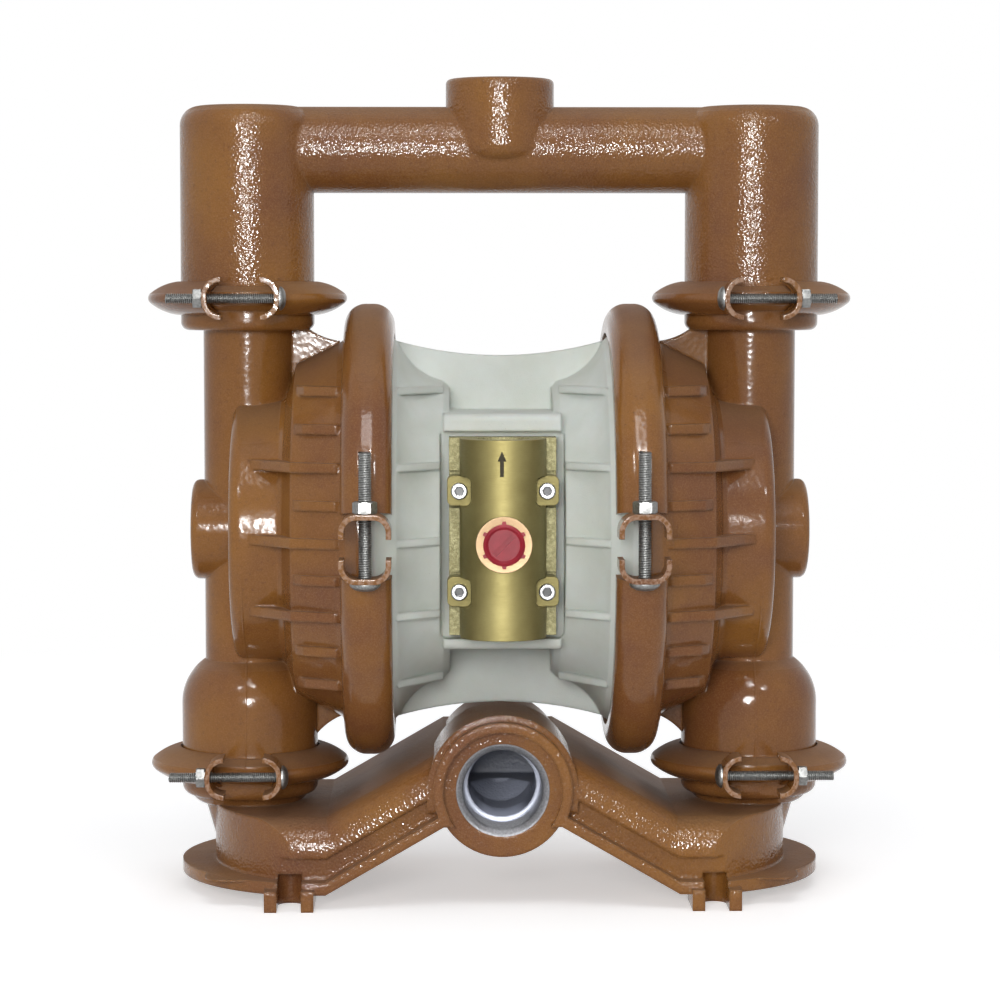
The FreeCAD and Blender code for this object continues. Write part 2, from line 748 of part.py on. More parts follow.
def centre_section():
    """Moulded centre block with both air chambers, the valve pocket and the webs."""
    body = new_body("center_section", height=dim.axis_height)
    half = [
        (air_face, dim.rim_radius),
        (air_face - dim.rim_straight, dim.rim_radius),
        (air_face - dim.rim_slope_depth, dim.rim_slope_radius),
        (dim.air_cone_at, dim.air_cone_radius, -40),
        (dim.air_waist_at, dim.air_waist_radius),
    ]
    mirror_half = [(-corner[0],) + tuple(corner[1:2]) for corner in reversed(half)]
    mirror_half[0] = (-dim.air_waist_at, dim.air_waist_radius, -40)
    floor = [
        (air_face, 0), (air_face, dim.rim_radius),
    ]
    sketch = outline(body, "air_walls", "XZ_Plane", floor[:1] + half + [
        (dim.air_waist_at - 4, dim.air_waist_radius - 4),
        (dim.air_waist_at - 4, dim.block_bottom - 8),
        (-(dim.air_waist_at - 4), dim.block_bottom - 8),
        (-(dim.air_waist_at - 4), dim.air_waist_radius - 4),
    ] + mirror_half + [(-air_face, 0)])
    turn(body, sketch, "H_Axis")
    width = dim.air_waist_at
    sketch = outline(body, "block", "XY_Plane", [
        (-width, -dim.block_front),
        (width, -dim.block_front),
        (width, dim.block_rear),
        (-width, dim.block_rear),
    ], shift=-dim.block_bottom)
    block = push(body, sketch, dim.block_bottom + dim.block_top)
    front = dim.block_front.number

    def front_edge(edge):
        middle = edge.CenterOfMass
        return abs(middle.y + front) < 0.01 and abs(middle.x) < 1

    rounded(body, block, dim.block_round, front_edge)
    for name, sign in (("upper", 1), ("lower", -1)):
        end = dim.web_end * sign
        crown = dim.web_end - dim.web_top
        arc = (dim.web_end_at * dim.web_end_at + crown * crown) / (crown * 2) * sign
        sketch = outline(body, name + "_centre_web", "XZ_Plane", [
            (-dim.web_end_at, end, arc),
            (dim.web_end_at, end),
            (dim.web_end_at, dim.block_bottom * 0.6 * sign),
            (-dim.web_end_at, dim.block_bottom * 0.6 * sign),
        ])
        push(body, sketch, dim.centre_web_thickness, middle=True)
    air_ribs(body)
    wide = dim.pocket_half_width
    low = -(dim.valve_bottom + dim.pocket_margin)
    high = dim.valve_top + dim.pocket_margin
    sketch = outline(body, "valve_pocket", "XZ_Plane",
                     soft_rectangle(0, (low + high) / 2, wide, (high - low) / 2, dim.pocket_round),
                     shift=dim.pocket_floor)
    push(body, sketch, 100, cut=True, backwards=True)
    sketch = outline(body, "rear_recess", "XZ_Plane",
                     rectangle(dim.rear_plate_half_width + 1, -dim.block_bottom, dim.block_top),
                     shift=-dim.block_rear)
    push(body, sketch, 100, cut=True)
    deep = dim.air_cavity_floor
    for name, side in (("left", -1), ("right", 1)):
        sketch = outline(body, name + "_air_hollow", "XZ_Plane", [
            ((air_face + 1) * side, 0),
            ((air_face + 1) * side, dim.air_cavity_radius),
            (dim.air_cone_at * side, dim.air_cavity_radius),
            (deep * side, dim.air_cavity_floor_radius),
            (deep * side, 0),
        ])
        turn(body, sketch, "H_Axis", cut=True)
    sketch = circles(body, "shaft_hole", "YZ_Plane",
                     [(0, 0, dim.shaft_radius + dim.bushing_wall + dim.fit_gap)])
    push(body, sketch, deep * 2 + 2, cut=True, middle=True)
    spread = dim.lug_spread
    rise = dim.lug_rise
    clear = dim.screw_radius + dim.fit_gap
    holes = [(spread * i, rise * j, clear) for i in (-1, 1) for j in (-1, 1)]
    holes.append((0, dim.exhaust_rise, dim.exhaust_bore))
    sketch = circles(body, "through_holes", "XZ_Plane", holes)
    push(body, sketch, (dim.block_rear + dim.block_front) * 2, cut=True, middle=True)
    keep(body)


def small_clamp_half(label, height):
    """Outer half of a joint clamp: a bulging wedge ring with an ear at each end."""
    body = new_body(label, across=-dim.column_offset, height=height)
    tall = dim.ring_half_height
    edge = dim.joint_neck_radius + 2
    sheet_low = tall - dim.ring_sheet * 0.5
    sketch = outline(body, "ring_section", "XZ_Plane", [
        (-edge, tall, dim.ring_round),
        (-(dim.ring_radius - 0.8), 3, 4),
        (-(dim.ring_radius - 0.8), -3, dim.ring_round),
        (-edge, -tall),
        (-edge, -sheet_low),
        (-(dim.joint_rim_radius + 1), -(dim.joint_rim_depth + 0.7)),
        (-(dim.joint_rim_radius + 2.5), 0),
        (-(dim.joint_rim_radius + 1), dim.joint_rim_depth + 0.7),
        (-edge, sheet_low),
    ])
    opening = half_gap_angle(dim.ring_gap, dim.ring_radius - 4)
    turn(body, sketch, "V_Axis", angle=180 - opening * 2)
    gap = dim.ring_gap
    sheet = dim.ring_sheet
    lip = dim.ring_ear_lip
    ear = dim.ring_ear_half
    sketch = outline(body, "ear_section", "XZ_Plane", [
        (-(gap - lip), ear, lip + sheet),
        (-(gap + sheet), ear - lip - sheet),
        (-(gap + sheet), -(ear - lip - sheet), lip + sheet),
        (-(gap - lip), -ear),
        (-(gap - lip), -(ear - sheet), -lip),
        (-gap, -(ear - lip - sheet)),
        (-gap, ear - lip - sheet, -lip),
        (-(gap - lip), ear - sheet),
    ], shift=dim.joint_rim_radius + 2)
    ear_pad = push(body, sketch, dim.ring_ear_face - dim.joint_rim_radius - 2)
    both_sides(body, [ear_pad], "XZ_Plane")
    sketch = circles(body, "bolt_holes", "YZ_Plane", [
        (dim.ring_bolt_at * sign, 0, dim.ring_bolt_radius + 0.4) for sign in (-1, 1)])
    push(body, sketch, 80, cut=True, backwards=False, middle=True)
    return keep(body)


def small_clamps():
    """Eight clamp halves round the four column joints."""
    centre = (-dim.column_offset, 0, 0)
    for name, height in (("discharge", discharge_height), ("inlet", inlet_height)):
        outer = small_clamp_half("small_clamp_%s_left_outer" % name, height)
        inner = keep(mirrored("small_clamp_%s_left_inner" % name, outer, (1, 0, 0), centre))
        keep(mirrored("small_clamp_%s_right_outer" % name, outer, (1, 0, 0)))
        keep(mirrored("small_clamp_%s_right_inner" % name, inner, (1, 0, 0)))


def large_clamp_half():
    """Upper half of a diaphragm clamp, with an ear at each end."""
    body = new_body("large_clamp_left_upper", across=-dim.diaphragm_offset, height=dim.axis_height)
    wide = dim.band_half_width
    bend = dim.band_round
    flat = wide - bend
    low = dim.rim_slope_radius + dim.band_edge_gap
    high = dim.band_radius
    thin = dim.band_sheet
    sketch = outline(body, "band_section", "XZ_Plane", [
        (-wide, low),
        (-(wide - thin), low),
        (-(wide - thin), dim.rim_slope_radius + 3),
        (-(dim.rim_straight + 3), dim.rim_radius + 2),
        (dim.rim_straight + 3, dim.rim_radius + 2),
        (wide - thin, dim.rim_slope_radius + 3),
        (wide - thin, low),
        (wide, low),
        (wide, high - bend, bend),
        (flat, high),
        (-flat, high, bend),
        (-wide, high - bend),
    ])
    opening = half_gap_angle(dim.band_gap, dim.band_radius)
    turn(body, sketch, "H_Axis", angle=180 - opening * 2)
    gap = dim.band_gap
    thick = dim.ear_sheet
    lip = dim.ear_lip
    curl = lip - 4
    sketch = outline(body, "ear_section", "XZ_Plane", [
        (-wide, gap - lip),
        (-(wide - thick), gap - lip),
        (-(wide - thick), gap - thick - (curl - thick), -(curl - thick)),
        (-(wide - curl), gap - thick),
        (wide - curl, gap - thick, -(curl - thick)),
        (wide - thick, gap - thick - (curl - thick)),
        (wide - thick, gap - lip),
        (wide, gap - lip),
        (wide, gap - curl, curl),
        (wide - curl, gap),
        (-(wide - curl), gap, curl),
        (-wide, gap - curl),
    ], shift=dim.rim_radius + 6)
    ear = push(body, sketch, dim.ear_face - dim.rim_radius - 6)
    both_sides(body, [ear], "XZ_Plane")
    sketch = circles(body, "bolt_holes", "XY_Plane", [
        (0, dim.band_bolt_at * sign, dim.band_bolt_radius + 0.5) for sign in (-1, 1)])
    push(body, sketch, gap * 4, cut=True, middle=True)
    return keep(body)


def large_clamps():
    """Two bands over the diaphragm rims, each of two halves."""
    upper = large_clamp_half()
    plane = (0, 0, dim.axis_height)
    lower = keep(mirrored("large_clamp_left_lower", upper, (0, 0, 1), plane))
    keep(mirrored("large_clamp_right_upper", upper, (1, 0, 0)))
    keep(mirrored("large_clamp_right_lower", lower, (1, 0, 0)))


def hexagon(flat):
    """Corners of a hexagon with the given width across flats."""
    corner = flat / 1.7320508
    return [
        (corner, 0), (corner / 2, flat / 2), (-corner / 2, flat / 2),
        (-corner, 0), (-corner / 2, -flat / 2), (corner / 2, -flat / 2),
    ]


def band_bolt():
    """Round-headed bolt through the ears of a large clamp, and its nut."""
    place = dict(across=-dim.diaphragm_offset, depth=-dim.band_bolt_at, height=dim.axis_height)
    body = new_body("band_bolt", **place)
    gap = dim.band_gap
    head = dim.band_bolt_head
    sketch = outline(body, "bolt_profile", "XZ_Plane", [
        (0, -(gap + 4.5)),
        (head * 0.45, -(gap + 4.2), head * 1.6),
        (head, -(gap + 0.8)),
        (head, -gap),
        (dim.band_bolt_radius, -gap),
        (dim.band_bolt_radius, dim.band_bolt_end - 1),
        (dim.band_bolt_radius - 1, dim.band_bolt_end),
        (0, dim.band_bolt_end),
    ])
    turn(body, sketch, "V_Axis")
    nut = new_body("band_nut", **place)
    sketch = outline(nut, "nut_outline", "XY_Plane", hexagon(dim.band_nut_flat), shift=gap)
    push(nut, sketch, dim.band_nut_height)
    sketch = circles(nut, "nut_hole", "XY_Plane", [(0, 0, dim.band_bolt_radius)], shift=gap)
    push(nut, sketch, dim.band_nut_height, cut=True, backwards=True)
    for single, label in ((body, "large_clamp_bolts"), (nut, "large_clamp_nuts")):
        rear = mirrored(label + "_rear", single, (0, 1, 0))
        keep(left_right(label, group(label + "_left", [single, rear])))


def ring_bolt():
    """Bolt across the ears of a small clamp, and its nut."""
    gap = dim.ring_gap + dim.ring_sheet
    head = dim.ring_bolt_head
    bolts = []
    nuts = []
    for name, height in (("discharge", discharge_height), ("inlet", inlet_height)):
        place = dict(across=-dim.column_offset, depth=-dim.ring_bolt_at, height=height)
        body = new_body(name + "_ring_bolt", **place)
        sketch = outline(body, "bolt_profile", "XY_Plane", [
            (gap + 4, 0),
            (gap + 4, head * 0.4, head * 1.2),
            (gap + 1.6, head - 1),
            (gap + 1.6, head),
            (gap, head),
            (gap, dim.ring_bolt_radius),
            (-(dim.ring_bolt_end - 1), dim.ring_bolt_radius),
            (-dim.ring_bolt_end, dim.ring_bolt_radius - 0.8),
            (-dim.ring_bolt_end, 0),
        ])
        turn(body, sketch, "H_Axis")
        nut = new_body(name + "_ring_nut", **place)
        sketch = outline(nut, "nut_outline", "YZ_Plane", hexagon(dim.ring_nut_flat), shift=-gap)
        push(nut, sketch, dim.ring_nut_height, backwards=True)
        sketch = circles(nut, "nut_hole", "YZ_Plane", [(0, 0, dim.ring_bolt_radius)], shift=-gap)
        push(nut, sketch, dim.ring_nut_height, cut=True)
        for single, kind, store in ((body, "bolt", bolts), (nut, "nut", nuts)):
            rear = mirrored("%s_rear_ring_%s" % (name, kind), single, (0, 1, 0))
            store += [single, rear]
    keep(left_right("small_clamp_bolts", group("left_ring_bolts", bolts)))
    keep(left_right("small_clamp_nuts", group("left_ring_nuts", nuts)))


def foot_corners(reach, length, side):
    """Plan of everything outside a rounded foot end."""
    arc = (reach * reach + length * length) / (reach * 2)
    far = dim.foot_centre + dim.foot_reach + 30
    wide = dim.foot_half_length + 30
    return [
        (dim.foot_centre * side, -wide),
        (far * side, -wide),
        (far * side, wide),
        (dim.foot_centre * side, wide),
        (dim.foot_centre * side, length, arc * -side),
        ((dim.foot_centre + reach) * side, 0, arc * -side),
        (dim.foot_centre * side, -length),
    ]


def strip_corners(low, high, reach):
    """Front view of a layer that runs level over the feet and climbs to the port."""
    climb = sine(dim.leg_slope) / cosine(dim.leg_slope)
    middle = dim.suction_boss - 5
    run = dim.leg_foot_at - middle

    def line(level):
        return level + run * climb

    return [
        (-reach, low), (-reach, high), (-dim.leg_foot_at, high), (-middle, line(high)),
        (middle, line(high)), (dim.leg_foot_at, high), (reach, high), (reach, low),
        (dim.leg_foot_at, low), (middle, line(low)), (-middle, line(low)), (-dim.leg_foot_at, low),
    ]


def inlet_manifold():
    """Feet, climbing legs and the suction port, one casting."""
    body = new_body("inlet_manifold")
    plate_reach = dim.foot_centre + dim.foot_reach + 2
    body_reach = dim.foot_centre + dim.plinth_reach + 2
    sketch = outline(body, "plate", "XZ_Plane",
                     strip_corners(dim.foot_height, plate_top, plate_reach))
    push(body, sketch, dim.foot_half_length * 2, middle=True)
    for name, side in (("left", -1), ("right", 1)):
        corners = foot_corners(dim.foot_reach, dim.foot_half_length, side)
        sketch = outline(body, name + "_plate_end", "XY_Plane", corners)
        push(body, sketch, 60, cut=True, backwards=True)
    sketch = outline(body, "plinth", "XZ_Plane",
                     strip_corners(plate_top - 1, crease_height, body_reach))
    push(body, sketch, dim.plinth_half_length * 2, middle=True)
    sketch = outline(body, "legs", "XZ_Plane",
                     strip_corners(crease_height, leg_top_height, body_reach))
    legs = push(body, sketch, dim.body_half_length * 2, middle=True)
    front = dim.body_half_length.number
    low = crease_height.number + 2

    def top_edge(edge):
        middle = edge.CenterOfMass
        return abs(abs(middle.y) - front) < 0.01 and middle.z > low + line_height(middle.x)

    rounded(body, legs, (leg_top_height - crease_height) * 0.82, top_edge)
    for name, side in (("left", -1), ("right", 1)):
        corners = foot_corners(dim.plinth_reach, dim.body_half_length, side)
        sketch = outline(body, name + "_body_end", "XY_Plane", corners, shift=plate_top)
        push(body, sketch, 60, cut=True, backwards=True)
    left = -dim.column_offset
    upper_rim = joint_rim(-1, dim.dome_radius, inlet_height)
    upper_rim.reverse()
    bend = inlet_span * 0.1134
    sketch = outline(body, "column", "XZ_Plane", shifted([
        (0, plate_top - 3),
        (22, plate_top - 3),
        (22, crease_height),
        (dim.pipe_radius, leg_top_height - 2, 12),
        (dim.dome_radius - bend, collar_foot, bend),
        (dim.dome_radius, collar_foot + bend),
    ] + upper_rim, left))
    column = turn(body, sketch, turning_axis(sketch, left))
    both_sides(body, [column], "YZ_Plane")
    height = suction_height
    sketch = circles(body, "suction_boss", "XZ_Plane", [(0, height, dim.suction_boss)],
                     shift=dim.suction_face)
    push(body, sketch, dim.suction_face + 50, backwards=True)
    hood = dim.hood_radius
    sketch = outline(body, "hood", "XZ_Plane", [
        (hood, height, hood),
        (0, height + hood, hood),
        (-hood, height),
        (-hood, height - 14),
        (hood, height - 14),
    ], shift=dim.hood_rear)
    push(body, sketch, dim.body_half_length - dim.hood_rear)
    inlet_lugs(body)
    suction_port(body, height)
    inlet_hollows(body)
    return keep(body)


def inlet_lugs(body):
    """Four open-slotted lugs that the pump stands on."""
    half = dim.foot_lug_half
    middle = (dim.foot_lug_front + dim.foot_lug_root) / 2
    deep = (dim.foot_lug_front - dim.foot_lug_root) / 2
    for name, side, face in (("left_front", -1, -1), ("right_front", 1, -1),
                             ("left_rear", -1, 1), ("right_rear", 1, 1)):
        across = dim.foot_centre * side
        along = middle * face
        sketch = outline(body, name + "_lug", "XY_Plane", [
            (across - half, along - deep),
            (across + half, along - deep),
            (across + half, along + deep),
            (across - half, along + deep),
        ])
        push(body, sketch, dim.foot_height + dim.plate_thickness / 2)
    for name, side, face in (("left_front", -1, -1), ("right_front", 1, -1),
                             ("left_rear", -1, 1), ("right_rear", 1, 1)):
        across = dim.foot_centre * side
        slot = dim.notch_half
        outside = (dim.foot_lug_front + 1) * face
        centre = (dim.foot_lug_front - dim.notch_depth + slot) * face
        sketch = outline(body, name + "_notch", "XY_Plane", [
            (across - slot, outside),
            (across + slot, outside),
            (across + slot, centre, slot * -face),
            (across, centre - slot * face, slot * -face),
            (across - slot, centre),
        ])
        push(body, sketch, dim.notch_height, cut=True, backwards=True)


def suction_port(body, height):
    """Arch rim round the recessed boss face, and the threaded suction bore."""
    rim = dim.arch_radius
    inner = dim.arch_inner
    drop = 17
    outer_end = root(rim * rim - drop * drop)
    inner_end = root(inner * inner - drop * drop)
    sketch = circles(body, "port_recess", "XZ_Plane", [(0, height, inner)],
                     shift=dim.suction_face)
    push(body, sketch, 20, cut=True, backwards=True)
    sketch = outline(body, "arch_rim", "XZ_Plane", [
        (outer_end, height - drop, rim),
        (0, height + rim, rim),
        (-outer_end, height - drop),
        (-inner_end, height - drop, -inner),
        (0, height + inner, -inner),
        (inner_end, height - drop),
    ], shift=dim.suction_face - 6)
    push(body, sketch, dim.foot_half_length - dim.suction_face + 6)
    thread = dim.suction_thread
    face = dim.suction_face
    deep = face - dim.suction_depth
    sketch = outline(body, "suction_bore", "YZ_Plane", [
        (-(face + 1), height),
        (-(face + 1), height + thread + dim.suction_bevel),
        (-face, height + thread + dim.suction_bevel),
        (-(face - dim.suction_bevel), height + thread),
        (-deep, height + thread),
        (-deep, height + dim.suction_throat),
        (-4, height + dim.suction_throat),
        (12, height + dim.suction_throat - 10),
        (12, height),
    ])
    line = Part.LineSegment(FreeCAD.Vector(0, height.number, 0),
                            FreeCAD.Vector(10, height.number, 0))
    index = sketch.addGeometry(line, True)
    pin_point(sketch, index, 1, (0, height))
    pin_point(sketch, index, 2, (10, height))
    turn(body, sketch, (sketch, ["Axis0"]), cut=True)


def inlet_hollows(body):
    """Flow duct through both legs and the bores up to the inlet seats."""
    reach = dim.column_offset + 12
    low = plate_top + duct_wall
    high = leg_top_height - duct_wall
    sketch = outline(body, "duct", "XZ_Plane", strip_corners(low, high, reach))
    push(body, sketch, dim.duct_half_width * 2, cut=True, middle=True)
    left = -dim.column_offset
    seat = inlet_height - dim.seat_half_height
    sketch = outline(body, "column_bore", "XZ_Plane", shifted([
        (0, low),
        (14, low),
        (14, low + duct_wall),
        (dim.column_bore, high),
        (dim.column_bore, seat),
        (dim.seat_radius + dim.fit_gap, seat),
        (dim.seat_radius + dim.fit_gap, inlet_height + 1),
        (0, inlet_height + 1),
    ], left))
    bore = turn(body, sketch, turning_axis(sketch, left), cut=True)
    both_sides(body, [bore], "YZ_Plane")


def line_height(across):
    """Rise of the climbing layers at a distance from the middle."""
    climb = math.tan(math.radians(dim.leg_slope.number))
    middle = dim.suction_boss.number - 5
    reach = dim.leg_foot_at.number
    return max(0.0, reach - max(abs(across), middle)) * climb


def seats_and_balls():
    """Ball valves: a seat with its sealing ring in each joint, and the ball on it."""
    rings = []
    half = dim.seat_half_height
    outer = dim.seat_radius
    ring = dim.seat_ring_section
    floor = outer - ring * 2 - 0.1
    for joint, height in (("inlet", inlet_height), ("discharge", discharge_height)):
        for hand, side in (("left", -1), ("right", 1)):
            name = "%s_%s" % (joint, hand)
            across = dim.column_offset * side
            seat = new_body("valve_seat_" + name, across=across, height=height)
            sketch = outline(seat, "seat_profile", "XZ_Plane", [
                (dim.seat_bore, 0),
                (dim.seat_bore + 4, -half),
                (outer, -half),
                (outer, -(ring + 0.2)),
                (floor, -(ring + 0.2)),
                (floor, ring + 0.2),
                (outer, ring + 0.2),
                (outer, half),
                (dim.seat_bore, half),
            ])
            turn(seat, sketch, "V_Axis")
            keep(seat)
            sealing = doc.addObject("Part::Torus", "ring_" + name)
            bind(sealing, "Radius1", outer - ring)
            bind(sealing, "Radius2", ring)
            bind(sealing, ".Placement.Base.x", across)
            bind(sealing, ".Placement.Base.z", height)
            rings.append(sealing)
            ball = doc.addObject("Part::Sphere", "ball_" + name)
            bind(ball, "Radius", dim.ball_radius)
            bind(ball, ".Placement.Base.x", across)
            bind(ball, ".Placement.Base.z", height + half + ball_seat_rise)
            keep(ball, "valve_ball_" + name)
    keep(group("seat_o_rings", rings))


def shaft_group():
    """Shaft, its bushing and seals, the pistons and both diaphragms."""
    face = dim.diaphragm_offset - dim.diaphragm_thickness / 2
    back = dim.diaphragm_offset + dim.diaphragm_thickness / 2
    stud_end = back + dim.outer_piston_depth - 6
    radius = dim.shaft_radius
    stud = dim.stud_radius
    shaft = new_body("diaphragm_shaft", height=dim.axis_height)
    sketch = outline(shaft, "shaft_profile", "XZ_Plane", [
        (-stud_end, 0), (-stud_end, stud), (-dim.shaft_end, stud), (-dim.shaft_end, radius),
        (dim.shaft_end, radius), (dim.shaft_end, stud), (stud_end, stud), (stud_end, 0),
    ])
    turn(shaft, sketch, "H_Axis")
    keep(shaft)
    hole = stud + 0.05
    bushing = new_body("shaft_bushing", height=dim.axis_height)
    end = dim.bushing_end
    sketch = outline(bushing, "bushing_profile", "XZ_Plane", [
        (-end, radius + dim.running_gap), (end, radius + dim.running_gap),
        (end, radius + dim.bushing_wall), (-end, radius + dim.bushing_wall),
    ])
    turn(bushing, sketch, "H_Axis")
    keep(bushing)
    seal = new_body("left_shaft_seal", height=dim.axis_height)
    sketch = outline(seal, "seal_profile", "XZ_Plane", [
        (-(end + 5), radius + dim.running_gap), (-(end + 0.5), radius + dim.running_gap),
        (-(end + 0.5), radius + dim.bushing_wall), (-(end + 5), radius + dim.bushing_wall),
    ])
    turn(seal, sketch, "H_Axis")
    keep(left_right("shaft_seals", seal))
    wide = dim.inner_piston_radius
    inner = new_body("inner_piston_left", height=dim.axis_height)
    sketch = outline(inner, "inner_profile", "XZ_Plane", [
        (-dim.shaft_end, hole),
        (-(face - 0.2), hole),
        (-(face - 0.2), wide - 3, -3),
        (-(face - 3.2), wide),
        (-(face - 5), wide),
        (-(dim.shaft_end + 2), radius + 12),
        (-dim.shaft_end, radius + 9),
    ])
    turn(inner, sketch, "H_Axis")
    keep(inner)
    keep(mirrored("inner_piston_right", inner, (1, 0, 0)))
    wide = dim.outer_piston_radius
    crown = back + dim.outer_piston_depth
    outer = new_body("outer_piston_left", height=dim.axis_height)
    sketch = outline(outer, "outer_profile", "XZ_Plane", [
        (-(back + 0.2), hole),
        (-(back + 0.2), wide - 3),
        (-(back + 3), wide),
        (-(back + 6), wide - 2),
        (-crown, wide / 2),
        (-crown, 0),
        (-(stud_end + 0.5), 0),
        (-(stud_end + 0.5), hole),
    ])
    turn(outer, sketch, "H_Axis")
    keep(outer)
    keep(mirrored("outer_piston_right", outer, (1, 0, 0)))
    sheet_left = new_body("diaphragm_left", height=dim.axis_height)
    low = dim.outer_piston_radius + 3
    high = dim.air_cavity_radius - 2
    half_low = (high - low) / 2
    deep = dim.convolution_depth
    bend = (half_low * half_low + deep * deep) / (deep * 2)
    sketch = outline(sheet_left, "diaphragm_profile", "XZ_Plane", [
        (-face, hole + 0.3),
        (-face, low, -bend),
        (-face, high),
        (-air_face, high + 1),
        (-air_face, dim.rim_radius - 1.5),
        (-liquid_face, dim.rim_radius - 1.5),
        (-liquid_face, high + 1),
        (-back, high, bend),
        (-back, low),
        (-back, hole + 0.3),
    ])
    turn(sheet_left, sketch, "H_Axis")
    keep(sheet_left)
    keep(mirrored("diaphragm_right", sheet_left, (1, 0, 0)))


def rectangle(across, low, high):
    """Corners of a rectangle centred on the vertical axis."""
    return [(-across, low), (across, low), (across, high), (-across, high)]


def soft_rectangle(across, up, half_width, half_height, bend):
    """Corners of a rectangle about a centre, with rounded corners."""
    left = across - half_width
    right = across + half_width
    low = up - half_height
    high = up + half_height
    return [
        (left + bend, low), (right - bend, low, bend), (right, low + bend), (right, high - bend, bend),
        (right - bend, high), (left + bend, high, bend), (left, high - bend), (left, low + bend, bend),
    ]


def screw_places():
    """Centres of the four through bolts of the air valve, seen from the front."""
    return [(dim.lug_spread * i, dim.lug_rise * j) for i in (-1, 1) for j in (-1, 1)]


def air_valve_body():
    """Brass valve body: spool barrel on a flanged base with rails, screw lugs and air port."""
    body = new_body("air_valve_body", height=dim.axis_height)
    back = dim.pocket_floor + dim.gasket_thickness
    front = back + dim.valve_base
    low = -dim.valve_bottom
    high = dim.valve_top
    sketch = outline(body, "base", "XZ_Plane", rectangle(dim.valve_half_width, low, high),
                     shift=back)
    push(body, sketch, dim.valve_base)
    edge = dim.valve_half_width
    inside = edge - dim.valve_rail_width
    pad = dim.valve_rail_end
    middle = dim.lug_rise - dim.lug_half_height - 2
    for name, start, end in (("top", high - pad, high), ("middle", -middle, middle),
                             ("bottom", low, low + pad)):
        for hand, side in (("left", -1), ("right", 1)):
            sketch = outline(body, "%s_%s_rail" % (name, hand), "XZ_Plane", [
                (inside * side, start), (edge * side, start),
                (edge * side, end), (inside * side, end),
            ], shift=front)
            push(body, sketch, dim.valve_rail_height)
    lugs = [soft_rectangle(across, up, dim.lug_half_width, dim.lug_half_height, dim.lug_round)
            for across, up in screw_places()]
    for number, corners in enumerate(lugs):
        sketch = outline(body, "lug_%d" % number, "XZ_Plane", corners, shift=front)
        push(body, sketch, dim.lug_face - front)
    sketch = circles(body, "barrel", "XY_Plane", [(0, -dim.valve_axis, dim.valve_radius)],
                     shift=low)
    push(body, sketch, high - low)
    sketch = circles(body, "port_boss", "XZ_Plane", [(0, 0, dim.valve_port_radius)],
                     shift=dim.valve_axis)
    push(body, sketch, dim.valve_port_face - dim.valve_axis)
    sketch = circles(body, "spool_hole", "XY_Plane", [(0, -dim.valve_axis, dim.spool_bore)],
                     shift=low - 1)
    push(body, sketch, high - low + 2, cut=True, backwards=True)
    sketch = circles(body, "air_port", "XZ_Plane", [(0, 0, dim.air_thread)],
                     shift=dim.valve_axis)
    push(body, sketch, 60, cut=True, backwards=True)
    sketch = circles(body, "exhaust_port", "XZ_Plane", [(0, dim.exhaust_rise, dim.exhaust_bore)],
                     shift=back - 1)
    push(body, sketch, dim.valve_axis - back + 1, cut=True, backwards=True)
    clear = dim.screw_radius + dim.fit_gap
    sketch = circles(body, "screw_holes", "XZ_Plane",
                     [place + (clear,) for place in screw_places()], shift=back - 1)
    push(body, sketch, 60, cut=True, backwards=True)
    for number, corners in enumerate(lugs):
        sketch = outline(body, "screw_seat_%d" % number, "XZ_Plane", corners, shift=dim.lug_face)
        push(body, sketch, 60, cut=True, backwards=True)
    keep(body)


